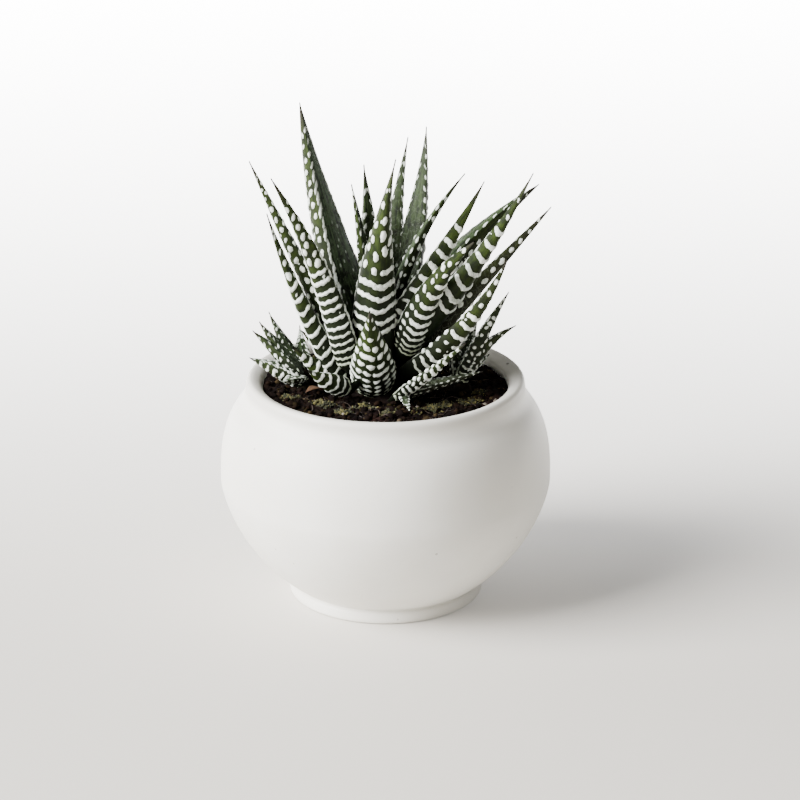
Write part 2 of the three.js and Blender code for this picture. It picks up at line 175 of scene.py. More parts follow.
# White marks of a leaf. They begin "start" mm from the foot, and "end" at a share of its length. Pitch and
# depth are in mm along the leaf, near its foot and further up. A row has "columns" marks where the leaf is
# widest, and neighbours run together with the chance "fused" up to the share "joined" of the length, but for
# the "loose" outermost ones. "dot" is a single mark's width and length. "line" is the share up to which the
# white line along each margin is unbroken, "margin" is half its width and "bead" that of the beads over it.
# "ridge" is the place and half the width of another such line. "stagger" moves every other column up by a
# share of pitch, and "specks" is the chance of a speck in a row. "inner" dots a row, or a band "inner_band"
# mm wide, lie on the inner face. Rows curve: "curve" is the place across where a row lies lowest, and the mm
# by which it rises half a face's width away from there.
STYLES = {
    "banded": dict(start=1, pitch=(2.4, 4.0), depth=(0.95, 1.6), joined=0.5, columns=5, dot=(1.9, 2.7),
                   fused=0.96, margin=0.45, bead=0.8, line=0.55, stagger=0.45, end=0.88, specks=0.3),
    "broad": dict(start=4, pitch=(3.4, 5.4), depth=(1.0, 2.1), joined=0.8, columns=3, dot=(2.2, 2.8),
                  fused=0.98, margin=0.45, bead=0.6, line=0.7, stagger=0.3, end=0.9, specks=0.2),
    "dotted": dict(start=4, pitch=(2.7, 3.8), depth=(1.0, 1.4), joined=0.22, columns=5, dot=(1.8, 2.2),
                   fused=0.5, margin=0.5, bead=0.65, line=0.3, stagger=0.5, end=0.92, specks=0.6),
    "beaded": dict(start=0.4, pitch=(1.7, 3.4), depth=(0.9, 1.9), joined=0.62, columns=6, dot=(3.0, 2.0),
                   fused=0.14, margin=0.4, bead=0.5, line=0.5, stagger=0, end=0.96, specks=0),
    "small": dict(start=0.8, pitch=(1.6, 2.3), depth=(0.8, 1.1), joined=0.3, columns=6, dot=(1.2, 1.3),
                  fused=0.5, margin=0.35, bead=0.45, line=0.2, stagger=0.5, end=0.95, inner=3, specks=0.4),
    "sparse": dict(start=5, pitch=(2.6, 4.2), depth=(1.0, 1.6), joined=0.2, columns=4, dot=(1.4, 2.0),
                   fused=0.3, margin=0.35, bead=0.5, line=0.2, stagger=0.4, end=0.95, specks=0.5),
}

# Where on a leaf: the share of its length at which pitch and depth are full grown, the one at which a face's
# width is measured, the share of that width which the rows cover, and how bands give way to dots past the
# share "joined". Rows stop curving a little past the margins.
GROWN_SHARE = 0.42
WIDEST_SHARE = 0.25
MARKED_WIDTH = 0.94
BAND_END = dict(past=0.08, fade=0.1)
CURVE_REACH = 1.2

# Relief of the marks in mm: how high they stand, how far in from their edge they are at full height, and how
# far out from it they are still felt. They flatten where a leaf's size times TIP_FLATTENING falls under 1.
MARK_HEIGHT = 0.5
PUP_MARK_HEIGHT = 0.35
MARK_SLOPE = 0.9
MARK_REACH = 1.5
TIP_FLATTENING = 1.6

# Sizes of the marks: shares of a row's depth for bands, of a column's width for dots, of the look's own dot
# for those inside, and of the pitch for what lies along a margin or ridge. Rows have fewer columns where the
# leaf is narrower, by a power of its width.
COUNT_POWER = 0.8
BAND_SHORTENING = 0.55
BANDED_DOT_LENGTH = 0.58
DOT_ROOM = 0.44
LEAST_DOT_SIZE = 0.45
INNER_DOT_SIZE = 0.42
MARGIN_LENGTH = 0.7
BEAD_LENGTH = 0.3
RIDGE_LENGTH = 0.62

# Chance in the marks: how likely a row is to mark each margin, ranges that multiply a size, how far a mark may
# slant, drift across as a share of its column or move along in mm, and how much of that the bands take away
MARGIN_CHANCE = 0.94
VARIED_DEPTH = (0.85, 1.15)
VARIED_PITCH = (0.92, 1.08)
VARIED_SIZE = (0.75, 1.2)
VARIED_RIDGE = (0.8, 1.2)
SPECK_SIZE = (0.3, 0.55)
SPECK_SPREAD = 0.9
SPECK_SHIFT = (0.4, 0.6)
BAND_SLANT = 0.05
DOT_SLANT = 0.35
DOT_DRIFT = 0.12
DOT_SHIFT = 0.3
INNER_DOT_SHIFT = 0.5
BANDS_STEADY = dict(slant=0.6, drift=0.75, shift=0.7)

# Waves that ruffle the marks' edges: height in mm, radians per mm across and along, and turns of the seed
RUFFLES_ALONG = [(0.3, 0.7, 0, 1), (0.14, 1.9, 0.5, 2), (0.11, 2.9, 1.7, 1), (0.077, -3.1, 4.3, 2)]
RUFFLES_ACROSS = [(0.16, 0, 0.9, 3), (0.07, 2.2, 3.7, 1)]

# Stems: where each plant stands, how wide its stem is at the soil, how deep it goes and how far it rises
CROWN = dict(x=-1, y=-2, radius=18.4, depth=10, rise=18)
BARE_CROWN_RADIUS = 12
FRONT_OFFSET = dict(x=5, y=-14)
LEFT_PUP = dict(x=-27, y=-4, radius=5, depth=6, rise=6)
RIGHT_PUP = dict(x=24, y=-3, radius=5, depth=6, rise=6)

# Outline of a stem, from its plug in the soil to its top: share of its radius, shares of its depth and of
# its rise, and mm added to that height
STEM_OUTLINE = [(0, -1, 0, 0.5), (0.7, -1, 0, 0.5), (0.96, 0, 0, -0.8), (0.84, 0, 0, 0.8), (0.55, 0, 0.45, 0),
                (0.3, 0, 1, 0), (0, 0, 1, 0)]
STEM_FACETS = 64
STEM_ROUGHNESS = dict(relief=0.07, scale=0.35, layers=3)

# Glaze: the heights where the painted shade that greys the lip begins and is full. Every finish has noise of
# one roughness.
LIP_SHADE_START = NECK_HEIGHT + 0.5
LIP_SHADE_FULL = NECK_HEIGHT + 4
NOISE_ROUGHNESS = 0.55

# Stage, in metres: a floor that glows far behind the pot, a pale sky and a large soft light from the left
FLOOR_REACH = 6
FLOOR_COLOUR = (0.6, 0.57, 0.52, 1)
FLOOR_GLOW = 17
FLOOR_GLOW_RANGE = (-0.1, 1.3)
SKY_COLOUR = (1, 0.985, 0.95, 1)
SKY_STRENGTH = 0.34
KEY_LIGHT = dict(place=(-2.22, -0.84, 1.5), target=(0, 0, 0.1), size=1.8, power=460)

# The camera: its place in mm, its pitch under the horizon in degrees, and its near and far clips in metres
CAMERA = dict(place=(4.8, -913.6, 403.1), pitch=20.2, lens=132.12, sensor=36, clips=(0.05, 30))

# Leaves of the main rosette. Azimuth is from +X towards +Y, lean is from upright, in degrees. Reach is from
# the stem's axis to the leaf's foot, side is the foot's shift across that line, height is the foot's over
# the soil, bow and sway bend the leaf at its middle, and twist turns its faces. Slim narrows its upper
# half. Tone runs from a pale inner face under 0, over fresh green, to brown at 1. Names are for the reader.
LEFT_LEAVES = [
    dict(name="tall_left", azimuth=150, lean=15.5, length=82, width=16, reach=9, height=12, bow=2.6,
         twist=4, thickness=0.68, style="dotted", tone=-1.2, marks=dict(line=0.7, columns=8, dot=(1.9, 2.6),
         pitch=(2.8, 3.8), margin=0.5)),
    dict(name="left_outer", azimuth=188, lean=24, length=78, width=10, reach=11, height=6, style="dotted",
         marks=dict(columns=5, pitch=(2.8, 3.6), dot=(1.7, 2.2))),
    dict(name="left_banded", azimuth=209, lean=21.8, length=69.8, width=11, reach=13.9, height=10.6,
         bow=-2.6, rounding=10, style="banded", marks=dict(curve=(-0.45, 2.4), ridge=(0.22, 0.38),
         start=0.6, pitch=(2.5, 3.6), depth=(1, 1.55), joined=0.46, line=0.6)),
    dict(name="left_low", azimuth=196, lean=21.7, length=64.2, width=7.6, reach=14.5, height=1.5, bow=1.6,
         twist=-30, style="banded", marks=dict(start=2, pitch=(3.6, 4.3), depth=(1.2, 1.6), joined=0.55,
         columns=4, curve=(-0.4, 2.6))),
    dict(name="low_left_upper", azimuth=193, lean=47, length=18.6, width=8.5, reach=16.2, height=2.1,
         bow=0.6, twist=-50, thickness=0.5, style="banded", marks=dict(start=1, pitch=(2.4, 2.8),
         depth=(1.1, 1.4), joined=0.75, columns=3)),
    dict(name="low_left_under", azimuth=206, lean=56, length=16.5, width=9, reach=17.4, side=8.6,
         height=3.1, bow=0.6, twist=-60, thickness=0.42, root=3.6, rounding=8, style="banded",
         marks=dict(start=0.8, pitch=(2.4, 2.8), depth=(0.9, 1.1), joined=0.8, columns=3, margin=0.5,
         line=0.95)),
]
CENTRE_LEAVES = [
    dict(name="centre_banded", azimuth=292, lean=14, length=70, width=15.5, reach=5.5, side=-4.3,
         height=14.5, bow=-0.6, sway=-1.8, twist=14, slim=0.2, style="banded", marks=dict(start=11,
         pitch=(2.8, 5.2), depth=(1.45, 2.3), joined=0.42, dot=(2.3, 3.4), bead=0.8, columns=5, stagger=0.5,
         curve=(0, -2.4))),
    dict(name="front_short", azimuth=267, lean=27, length=36, width=15.8, reach=9.5, side=-2.5, height=1.5,
         thickness=0.44, root=4, rounding=8, style="beaded"),
    dict(name="back_left_dark", azimuth=120, lean=7, length=57, width=11, reach=5, height=15,
         style="dotted", tone=0.35, marks=dict(start=10, end=0.85, dot=(2, 2.4))),
    dict(name="back_left_thin", azimuth=155, lean=7, length=53, width=8, reach=4.5, height=14, bow=-1,
         style="sparse", tone=0.4),
    dict(name="heart", azimuth=300, lean=6, length=38, width=9, reach=1, height=18, style="sparse"),
]
RIGHT_LEAVES = [
    dict(name="right_front_banded", azimuth=312, lean=35.3, length=53.5, width=11, reach=11, side=1.7,
         height=14.5, bow=-3.3, twist=16, rounding=8, style="banded", marks=dict(start=1.2,
         pitch=(1.8, 4.8), depth=(0.85, 2.1), joined=0.62, bead=0.8, columns=6, loose=1)),
    dict(name="right_banded", azimuth=334, lean=34.5, length=81, width=10.5, reach=7, height=11.4, bow=2.7,
         twist=28, slim=0.05, style="broad", marks=dict(start=26)),
    dict(name="mid_right_banded", azimuth=331, lean=30.5, length=65, width=11.5, reach=4, height=18,
         bow=0.6, slim=0.1, style="broad", marks=dict(joined=0.75, end=0.8)),
    dict(name="right_plain", azimuth=18, lean=44.5, length=69, width=16, reach=5.5, height=14, bow=-3.5,
         twist=8, style="sparse", tone=0.1),
    dict(name="thin_right", azimuth=8, lean=25, length=59, width=7, reach=2, height=17, bow=-4,
         style="dotted", marks=dict(end=0.8, columns=4, dot=(1.3, 2.2))),
]
RIGHT_LOW_LEAVES = [
    dict(name="right_outer", azimuth=352, lean=40, length=71, width=10, reach=9, height=8.2, twist=16,
         style="dotted", tone=0.68, marks=dict(start=28, columns=3, dot=(1.6, 2.3), line=0.1,
         pitch=(3.4, 4.4))),
    dict(name="right_lower", azimuth=328, lean=38, length=57, width=9.3, reach=12, height=6, bow=3.5,
         sway=1, twist=14, style="banded", tone=0.55, marks=dict(start=5, pitch=(3.2, 4.4),
         depth=(1.2, 1.6), columns=3, fused=0.6, joined=0.62, dot=(1.6, 2.4), margin=0.25, line=0.1)),
]
BACK_LEAVES = [
    dict(name="back_right", azimuth=62, lean=21, length=71, width=13, reach=5.5, height=13.5, bow=1,
         sway=-2.4, style="dotted", tone=0.55, marks=dict(bead=0.4)),
    dict(name="back_centre", azimuth=74, lean=23, length=65.4, width=9.5, reach=5, height=15.5, sway=1,
         style="dotted", tone=0.56, marks=dict(bead=0.35)),
    dict(name="back_mid", azimuth=104, lean=27, length=46, width=12, reach=7, height=10, style="banded"),
    dict(name="right_back_mid", azimuth=36, lean=27, length=30, width=12, reach=7, height=10,
         style="banded"),
]
BACK_LOW_LEAVES = [
    dict(name="back_low_right", azimuth=40, lean=43, length=45, width=13, reach=11, height=3,
         style="banded"),
    dict(name="back_low_centre", azimuth=68, lean=40, length=44, width=13, reach=10, height=5,
         style="dotted"),
    dict(name="back_low", azimuth=94, lean=47, length=48, width=13, reach=11, height=3.5, style="banded"),
    dict(name="back_low_left", azimuth=131, lean=44, length=47, width=13, reach=11, height=3,
         style="dotted"),
    dict(name="left_back_low", azimuth=175, lean=45, length=22, width=12, reach=11, height=1.8,
         style="banded"),
]

# Leaves of the small offset at the front right, which grows from the main stem's side
OFFSET_LEAVES = [
    dict(name="offset_up", azimuth=329, lean=48, length=34, width=6.8, reach=1.85, side=-4.5, height=2.2,
         bow=0.6, thickness=0.5, rounding=7, style="banded", marks=dict(start=0.5, pitch=(2.2, 2.8),
         depth=(1.1, 1.4), joined=0.7, columns=5, dot=(1.4, 1.6), margin=0.3, line=0.15)),
    dict(name="offset_side", azimuth=12, lean=77, length=26, width=7, reach=2, side=-2.5, height=2,
         thickness=0.4, style="sparse", tone=0.75, marks=dict(start=2, pitch=(1.8, 2.2), dot=(0.9, 1),
         margin=0.2, bead=0.35, columns=4, fused=0, specks=0)),
    dict(name="offset_front", azimuth=278, lean=87.5, length=19, width=3.6, reach=3, height=2.2,
         thickness=0.36, style="sparse", marks=dict(start=3, margin=0.3, dot=(0.8, 1.2), pitch=(1.8, 2.2))),
]

# Leaves of the two pups
PUP_DOTS = dict(pitch=(2.3, 2.6), dot=(1.4, 1.4), columns=4, inner=1, margin=0.2, bead=0.45, line=0,
                fused=0.1, specks=0.2)
LEFT_PUP_LEAVES = [
    dict(name="out", azimuth=186, lean=62, length=18, width=11, reach=1.5, height=2, thickness=0.5,
         style="small", marks=dict(start=0.6, pitch=(2.1, 2.4), depth=(0.95, 1.15), joined=0.85, fused=0.95,
         columns=4, inner_band=1)),
    dict(name="side", azimuth=172, lean=47, length=21, width=8, reach=1.2, height=4, style="small",
         marks=PUP_DOTS),
    dict(name="mid", azimuth=160, lean=41, length=21.8, width=8, reach=1, height=4, bow=0.6, style="small",
         marks=PUP_DOTS),
    dict(name="up", azimuth=140, lean=38, length=22.6, width=6.5, reach=1, height=4.5, bow=0.8,
         style="small", marks=PUP_DOTS),
    dict(name="front", azimuth=246, lean=76, length=15, width=6, reach=2, height=3.2, thickness=0.4,
         style="small"),
    dict(name="back", azimuth=96, lean=46, length=18, width=7, reach=1.5, height=3.5, style="small"),
]
RIGHT_PUP_LEAVES = [
    dict(name="up", azimuth=348, lean=26, length=34, width=8, reach=1.5, height=3.5, bow=-0.6,
         style="small", marks=dict(dot=(1.5, 1.6), pitch=(2.2, 2.8), columns=5)),
    dict(name="low", azimuth=354, lean=42, length=25.5, width=7.5, reach=1.5, height=3.2, bow=-2,
         style="sparse", tone=0.5, marks=dict(dot=(1.1, 1.3), pitch=(2, 3))),
    dict(name="side", azimuth=24, lean=56, length=12, width=6.5, reach=1.2, height=3.2, thickness=0.48,
         style="small"),
    dict(name="back", azimuth=66, lean=44, length=22, width=7, reach=1.2, height=3.5, style="small"),
    dict(name="heart", azimuth=130, lean=14, length=20, width=6, reach=0.8, height=4, style="small"),
]

# The withered leaf: it lies on the soil in front of the left pup
WITHERED_SPOT = dict(x=-21.5, y=-11)
WITHERED_LEAF = dict(name="withered", azimuth=232, lean=86, length=7.5, width=4.5, reach=0, height=1.25,
                     bow=-1, thickness=0.17)

# Pieces of the rosette: their leaves, the plant that these grow from, the spacing of the skin's grid and
# the first seed of the marks
ROSETTE_PIECES = [
    ("leaves_left", LEFT_LEAVES, CROWN, 0.45, 11),
    ("leaves_centre", CENTRE_LEAVES, CROWN, 0.42, 21),
    ("leaves_right", RIGHT_LEAVES, CROWN, 0.45, 31),
    ("leaves_right_low", RIGHT_LOW_LEAVES, CROWN, 0.45, 41),
    ("leaves_back", BACK_LEAVES, CROWN, 0.5, 51),
    ("leaves_back_low", BACK_LOW_LEAVES, CROWN, 0.55, 61),
    ("leaves_of_offset", OFFSET_LEAVES, FRONT_OFFSET, 0.34, 71),
]


# Meshes

class Shape:
    """Vertices in mm, faces, and named numbers at the vertices, gathered from several surfaces"""

    def __init__(self):
        self.points = []
        self.faces = []
        self.values = {}
        self.count = 0

    def add(self, points, faces, **values):
        points = np.asarray(points, float).reshape(-1, 3)
        self.faces += [tuple(index + self.count for index in face) for face in faces]
        self.points.append(points)
        self.count += len(points)
        for name, value in values.items():
            value = np.broadcast_to(value, (len(points),) + np.shape(value)[1:])
            self.values.setdefault(name, []).append(value)

    def piece(self, name, finish, slot, *nodes):
        """The shape as a piece of the object, which rides on the object's one body"""
        mesh = bpy.data.meshes.new(name)
        mesh.from_pydata((np.concatenate(self.points) * MM).tolist(), [], self.faces)
        for label, parts in self.values.items():
            value = np.concatenate(parts)
            kind = "FLOAT_VECTOR" if value.ndim == 2 else "FLOAT"
            layer = mesh.attributes.new(label, kind, "POINT")
            layer.data.foreach_set("vector" if value.ndim == 2 else "value", value.astype(np.float32).ravel())
        mesh.polygons.foreach_set("use_smooth", [True] * len(mesh.polygons))
        mesh.materials.append(finish)
        mesh.update()
        piece = bpy.data.objects.new(name, mesh)
        bpy.context.scene.collection.objects.link(piece)
        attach(piece, "root")
        if nodes:
            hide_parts(*nodes)
        return piece


def grid_faces(rows, columns):
    """Quads of a surface of rows of points, each row closed into a ring"""
    faces = []
    for row in range(rows - 1):
        for column in range(columns):
            a = row * columns + column
            b = row * columns + (column + 1) % columns
            faces.append((a, b, b + columns, a + columns))
    return faces


def tube_faces(rows, columns):
    """Faces of a closed tube of rings, with a point at each end after the rings"""
    faces = grid_faces(rows, columns)
    start = rows * columns
    last = (rows - 1) * columns
    for column in range(columns):
        after = (column + 1) % columns
        faces.append((start, after, column))
        faces.append((start + 1, last + column, last + after))
    return faces


def turned(profile, facets):
    """Points and faces of a profile of (radius, height) turned about the Z axis, its ends on the axis"""
    rings = np.array(profile[1:-1], float)
    angles = np.arange(facets) * FULL_TURN / facets
    points = np.stack([
        np.outer(rings[:, 0], np.cos(angles)),
        np.outer(rings[:, 0], np.sin(angles)),
        np.repeat(rings[:, 1:], facets, axis=1),
    ], axis=2).reshape(-1, 3)
    ends = [(0, 0, profile[0][1]), (0, 0, profile[-1][1])]
    return np.vstack([points, ends]), tube_faces(len(rings), facets)


def rounded(profile, passes):
    """A profile with its corners cut again and again, its two ends kept"""
    for _ in range(passes):
        cut = [profile[0]]
        for (r0, z0), (r1, z1) in zip(profile, profile[1:]):
            cut.append((r0 * 0.75 + r1 * 0.25, z0 * 0.75 + z1 * 0.25))
            cut.append((r0 * 0.25 + r1 * 0.75, z0 * 0.25 + z1 * 0.75))
        profile = cut + [profile[-1]]
    return profile


# Pot

def bowl_radius(height):
    """Radius of the bowl's outside at a height: one rounded curve under the belly and one over it"""
    curve = UNDER_BELLY if height < BELLY_HEIGHT else OVER_BELLY
    away = abs(height - BELLY_HEIGHT) / curve["span"]
    return POT_RADIUS * (1 - away ** curve["inner"]) ** (1 / curve["outer"])


def bowl_line(first, last, count, inset=0.0):
    """Points of the bowl's outside between two heights, or of its inside where they are drawn in"""
    heights = np.linspace(first, last, count)
    return [(bowl_radius(height) - inset, height) for height in heights]


def cavity(clearance, count):
    """The pot's inside from its floor to its neck, drawn inwards by a clearance"""
    return [
        (0, FLOOR_HEIGHT + clearance),
        (FLOOR_RADIUS - clearance, FLOOR_HEIGHT + clearance),
        (FLOOR_BEND_RADIUS - clearance, FLOOR_BEND_HEIGHT + clearance),
    ] + bowl_line(FLOOR_CORNER, NECK_HEIGHT, count, WALL + clearance)


def make_pot(finish):
    body = bowl_line(BODY_START, BODY_END, BODY_RINGS)
    inside = cavity(0, INSIDE_RINGS)[::-1]
    profile = [(0, FOOT_RECESS)] + rounded(FOOT_OUTLINE, 2) + body + rounded(LIP_OUTLINE, 3) + inside
    shape = Shape()
    shape.add(*turned(profile, POT_FACETS))
    return shape.piece("ceramic_pot", finish, "pot", "pot")


# Soil

def soil_height(x, y):
    """Height of the soil: a low mound, a fall from left to right, and gentle lumps"""
    mound = MOUND_HEIGHT * math.exp(-((x * x + y * y) / MOUND_RADIUS ** 2))
    lumps = LUMPS["height"] * math.sin(LUMPS["along_x"] * x + LUMPS["start_x"])
    lumps *= math.cos(LUMPS["along_y"] * y + LUMPS["start_y"])
    small_lumps = SMALL_LUMPS["height"] * math.sin(SMALL_LUMPS["along_x"] * x + SMALL_LUMPS["along_y"] * y)
    return SOIL_HEIGHT + mound - SOIL_FALL * x + lumps + small_lumps


def unevenness(kind, x, y):
    """How far clods or grains stand over or under the soil's height"""
    spot = Vector((x * kind["scale"], y * kind["scale"], kind["depth"]))
    return kind["relief"] * (noise.turbulence(spot, kind["layers"], kind["hard"]) - 0.5)


def surface_height(x, y):
    """Height of the crumbly soil, which falls away beside the pot's wall"""
    edge = max(0.0, math.hypot(x, y) - SOIL_EDGE["start"]) / SOIL_EDGE["width"]
    crumbly = unevenness(CLODS, x, y) + unevenness(GRAINS, x, y)
    return soil_height(x, y) + crumbly - SOIL_EDGE["drop"] * edge * edge


def make_soil(finish):
    rim = MOUTH_RADIUS - CLEARANCE
    sides = cavity(CLEARANCE, SOIL_SIDE_RINGS)
    radii = rim * np.sqrt(np.linspace(1, 0, SOIL_RINGS + 1))[:-1]
    profile = sides + [(radius, SOIL_HEIGHT) for radius in radii] + [(0, SOIL_HEIGHT)]
    points, faces = turned(profile, SOIL_FACETS)
    for point in points:
        if point[2] == SOIL_HEIGHT:
            point[2] = surface_height(point[0], point[1])
    shape = Shape()
    shape.add(points, faces)
    return shape.piece("potting_soil", finish, "soil", "soil")


def lump(rng, radius):
    """A rough crumb: a small ball of rings, dented, stretched, tipped and turned"""
    columns, rows = CRUMB_FORM["columns"], CRUMB_FORM["rows"]
    dent = CRUMB_FORM["dent"]
    points = []
    for row in range(rows):
        tilt = math.pi * (row + 1) / (rows + 1)
        for column in range(columns):
            turn = FULL_TURN * (column + 0.5 * (row % 2)) / columns
            points.append((math.sin(tilt) * math.cos(turn), math.sin(tilt) * math.sin(turn), -math.cos(tilt)))
    points += [(0, 0, -1), (0, 0, 1)]
    points = np.array(points)
    points *= 1 + np.array([rng.uniform(-dent, dent) for _ in points])[:, None]
    points *= [rng.uniform(*limits) for limits in CRUMB_FORM["stretch"]]
    turn = rng.uniform(0, FULL_TURN)
    tip = rng.uniform(-CRUMB_FORM["tip"], CRUMB_FORM["tip"])
    x, y, z = points.T.copy()
    y, z = y * math.cos(tip) - z * math.sin(tip), y * math.sin(tip) + z * math.cos(tip)
    x, y = x * math.cos(turn) - y * math.sin(turn), x * math.sin(turn) + y * math.cos(turn)
    return np.stack([x, y, z], axis=1) * radius, tube_faces(rows, columns)


def spot_on_soil(rng, reach):
    """A random place on the soil within a radius, kept off the plants' stems"""
    while True:
        radius = math.sqrt(rng.uniform(0, reach ** 2))
        turn = rng.uniform(0, FULL_TURN)
        x, y = radius * math.cos(turn), radius * math.sin(turn)
        if all(math.hypot(x - stem["x"], y - stem["y"]) > stem["radius"] - STEM_MARGIN
               for stem in (CROWN, LEFT_PUP, RIGHT_PUP)):
            return x, y


def make_crumbs(finish):
    rng = random.Random(CRUMBS["seed"])
    shape = Shape()
    for _ in range(CRUMBS["count"]):
        x, y = spot_on_soil(rng, CRUMBS["reach"])
        radius = CRUMBS["least"] + CRUMBS["spread"] * rng.random() ** CRUMBS["power"]
        points, faces = lump(rng, radius)
        centre = (x, y, surface_height(x, y) + radius * CRUMBS["lift"])
        shape.add(points + centre, faces, tint=rng.random())
    return shape.piece("soil_crumbs", finish, "soil")


def strand(path, radius, sides):
    """A thin tube along a path of points, narrowed at both ends"""
    path = np.asarray(path, float)
    along = np.gradient(path, axis=0)
    along /= np.linalg.norm(along, axis=1)[:, None]
    first = np.cross(along, STRAND_SIDE)
    first /= np.linalg.norm(first, axis=1)[:, None]
    second = np.cross(along, first)
    share = np.linspace(0, 1, len(path))
    swell = np.sin(np.pi * np.clip(share * 0.9 + 0.08, 0, 1))
    wide = radius * (STRAND_END_WIDTH + (1 - STRAND_END_WIDTH) * swell)
    angles = np.arange(sides) * FULL_TURN / sides
    rings = (path[:, None]
             + first[:, None] * (wide[:, None] * np.cos(angles))[:, :, None]
             + second[:, None] * (wide[:, None] * np.sin(angles))[:, :, None])
    points = np.vstack([rings.reshape(-1, 3), path[0], path[-1]])
    return points, [face[::-1] for face in tube_faces(len(path), sides)]


def make_fibres(finish):
    rng = random.Random(FIBRES["seed"])
    shape = Shape()
    for _ in range(FIBRES["count"]):
        x, y = spot_on_soil(rng, FIBRES["reach"])
        heading = rng.uniform(0, FULL_TURN)
        bend = rng.uniform(-FIBRES["bend"], FIBRES["bend"])
        step = rng.uniform(*FIBRES["step"])
        path = []
        for _ in range(FIBRES["steps"]):
            if math.hypot(x, y) > FIBRES["end"]:
                break
            path.append((x, y, surface_height(x, y) + FIBRES["lift"] + rng.uniform(0, FIBRES["lift"])))
            x += step * math.cos(heading)
            y += step * math.sin(heading)
            heading += bend
        if len(path) >= FIBRES["least_steps"]:
            points, faces = strand(path, rng.uniform(*FIBRES["thickness"]), FIBRES["sides"])
            shape.add(points, faces, tint=rng.random())
    return shape.piece("bark_fibres", finish, "soil")


def moss_blade(base, rng):
    """Points and faces of one blade of moss, which leans out from its tuft and droops"""
    lean = rng.uniform(*MOSS["lean"])
    turn = rng.uniform(0, FULL_TURN)
    length = rng.uniform(*MOSS["length"])
    tip = Vector((math.cos(turn) * math.sin(lean), math.sin(turn) * math.sin(lean), math.cos(lean)))
    path = [base + tip * length * share - Vector((0, 0, MOSS["droop"] * share * share)) * length
            for share in BLADE_SHARES]
    return strand(path, rng.uniform(*MOSS["thickness"]), MOSS["sides"])


def make_moss(finish):
    rng = random.Random(MOSS["seed"])
    shape = Shape()
    for patch in MOSS_PATCHES:
        for _ in range(int(MOSS["density"] * patch["spread"])):
            x = patch["x"] + rng.gauss(0, patch["spread"] * MOSS["spread"][0])
            y = patch["y"] + rng.gauss(0, patch["spread"] * MOSS["spread"][1])
            if math.hypot(x, y) > MOSS["reach"]:
                continue
            base = Vector((x, y, surface_height(x, y)))
            tint = rng.random()
            for _ in range(MOSS["blades"]):
                points, faces = moss_blade(base, rng)
                shape.add(points, faces, tint=(tint + rng.uniform(-MOSS["tint"], MOSS["tint"])) % 1)
    return shape.piece("moss_tufts", finish, "soil")


# White marks of the leaves. A mark is (place across, place along, half the straight run, half width, half
# length, slant), in mm from the middle line of the outer face and from the leaf's foot.

def blend(pair, share):
    return pair[0] + (pair[1] - pair[0]) * share


def row_of_marks(look, at, share, edge, pitch, rng):
    """The marks of one row: bands where neighbours run together, and dots where they stand alone"""
    depth = blend(look["depth"], min(1.0, share / GROWN_SHARE)) * rng.uniform(*VARIED_DEPTH)
    room = edge / look["edge"]
    banding = min(1.0, max(0.0, (look["joined"] + BAND_END["past"] - share) / BAND_END["fade"]))
    count = max(2, round(look["columns"] * room ** COUNT_POWER))
    cell = 2 * MARKED_WIDTH * edge / count
    loose = look.get("loose", 0)
    marks = []
    first = 0
    for index in range(count):
        alone = index < loose or index + 1 >= count - loose
        if index < count - 1 and not alone and rng.random() < look["fused"] * banding:
            continue
        cells = index + 1 - first
        across = -MARKED_WIDTH * edge + cell * (first + cells / 2)
        if cells > 1:
            run = max(0.0, cells * cell / 2 - depth * BAND_SHORTENING)
            marks.append((across, at, run, depth / 2, depth / 2, rng.uniform(-BAND_SLANT, BAND_SLANT)))
        else:
            size = min(1.0, LEAST_DOT_SIZE + room) * rng.uniform(*VARIED_SIZE)
            wide = min(look["dot"][0] / 2, cell * DOT_ROOM) * size
            tall = blend((look["dot"][1] / 2 * size, depth * BANDED_DOT_LENGTH), banding)
            lift = look["stagger"] * pitch * (index % 2) * (1 - banding)
            drift = rng.uniform(-DOT_DRIFT, DOT_DRIFT) * cell * (1 - BANDS_STEADY["drift"] * banding)
            place = at + lift + rng.uniform(-DOT_SHIFT, DOT_SHIFT) * (1 - BANDS_STEADY["shift"] * banding)
            slant = rng.uniform(-DOT_SLANT, DOT_SLANT) * (1 - BANDS_STEADY["slant"] * banding)
            marks.append((across + drift, place, 0, wide, tall, slant))
        first = index + 1
    return marks


def margin_marks(look, at, share, edge, pitch, rng):
    """A stretch of the white line along each margin, or a bead past the line's end"""
    unbroken = share < look["line"]
    tall = pitch * (MARGIN_LENGTH if unbroken else BEAD_LENGTH)
    marks = []
    for side in (-1, 1):
        if rng.random() < MARGIN_CHANCE:
            wide = look["margin" if unbroken else "bead"] * rng.uniform(*VARIED_SIZE)
            wide *= min(1.0, 0.5 + edge / look["edge"])
            marks.append((side * edge, at + 0.5 * pitch, 0, wide, tall, 0))
    return marks


def inner_marks(look, at, edge, width, rng):
    """Dots or a band on the inner face"""
    marks = []
    for index in range(look.get("inner", 0)):
        spot = (index + 0.5) / look["inner"] * 2 - 1
        inset = width / 2 * (1 - abs(spot)) * rng.uniform(*VARIED_DEPTH)
        place = at + rng.uniform(-INNER_DOT_SHIFT, INNER_DOT_SHIFT)
        wide, tall = (part * INNER_DOT_SIZE for part in look["dot"])
        marks.append((math.copysign(edge + inset, spot), place, 0, wide, tall, 0))
    if "inner_band" in look:
        bar = look["inner_band"] / 2
        run = max(0.0, width / 4 - bar)
        marks += [(side * (edge + width / 4), at, run, bar, bar, 0) for side in (-1, 1)]
    return marks


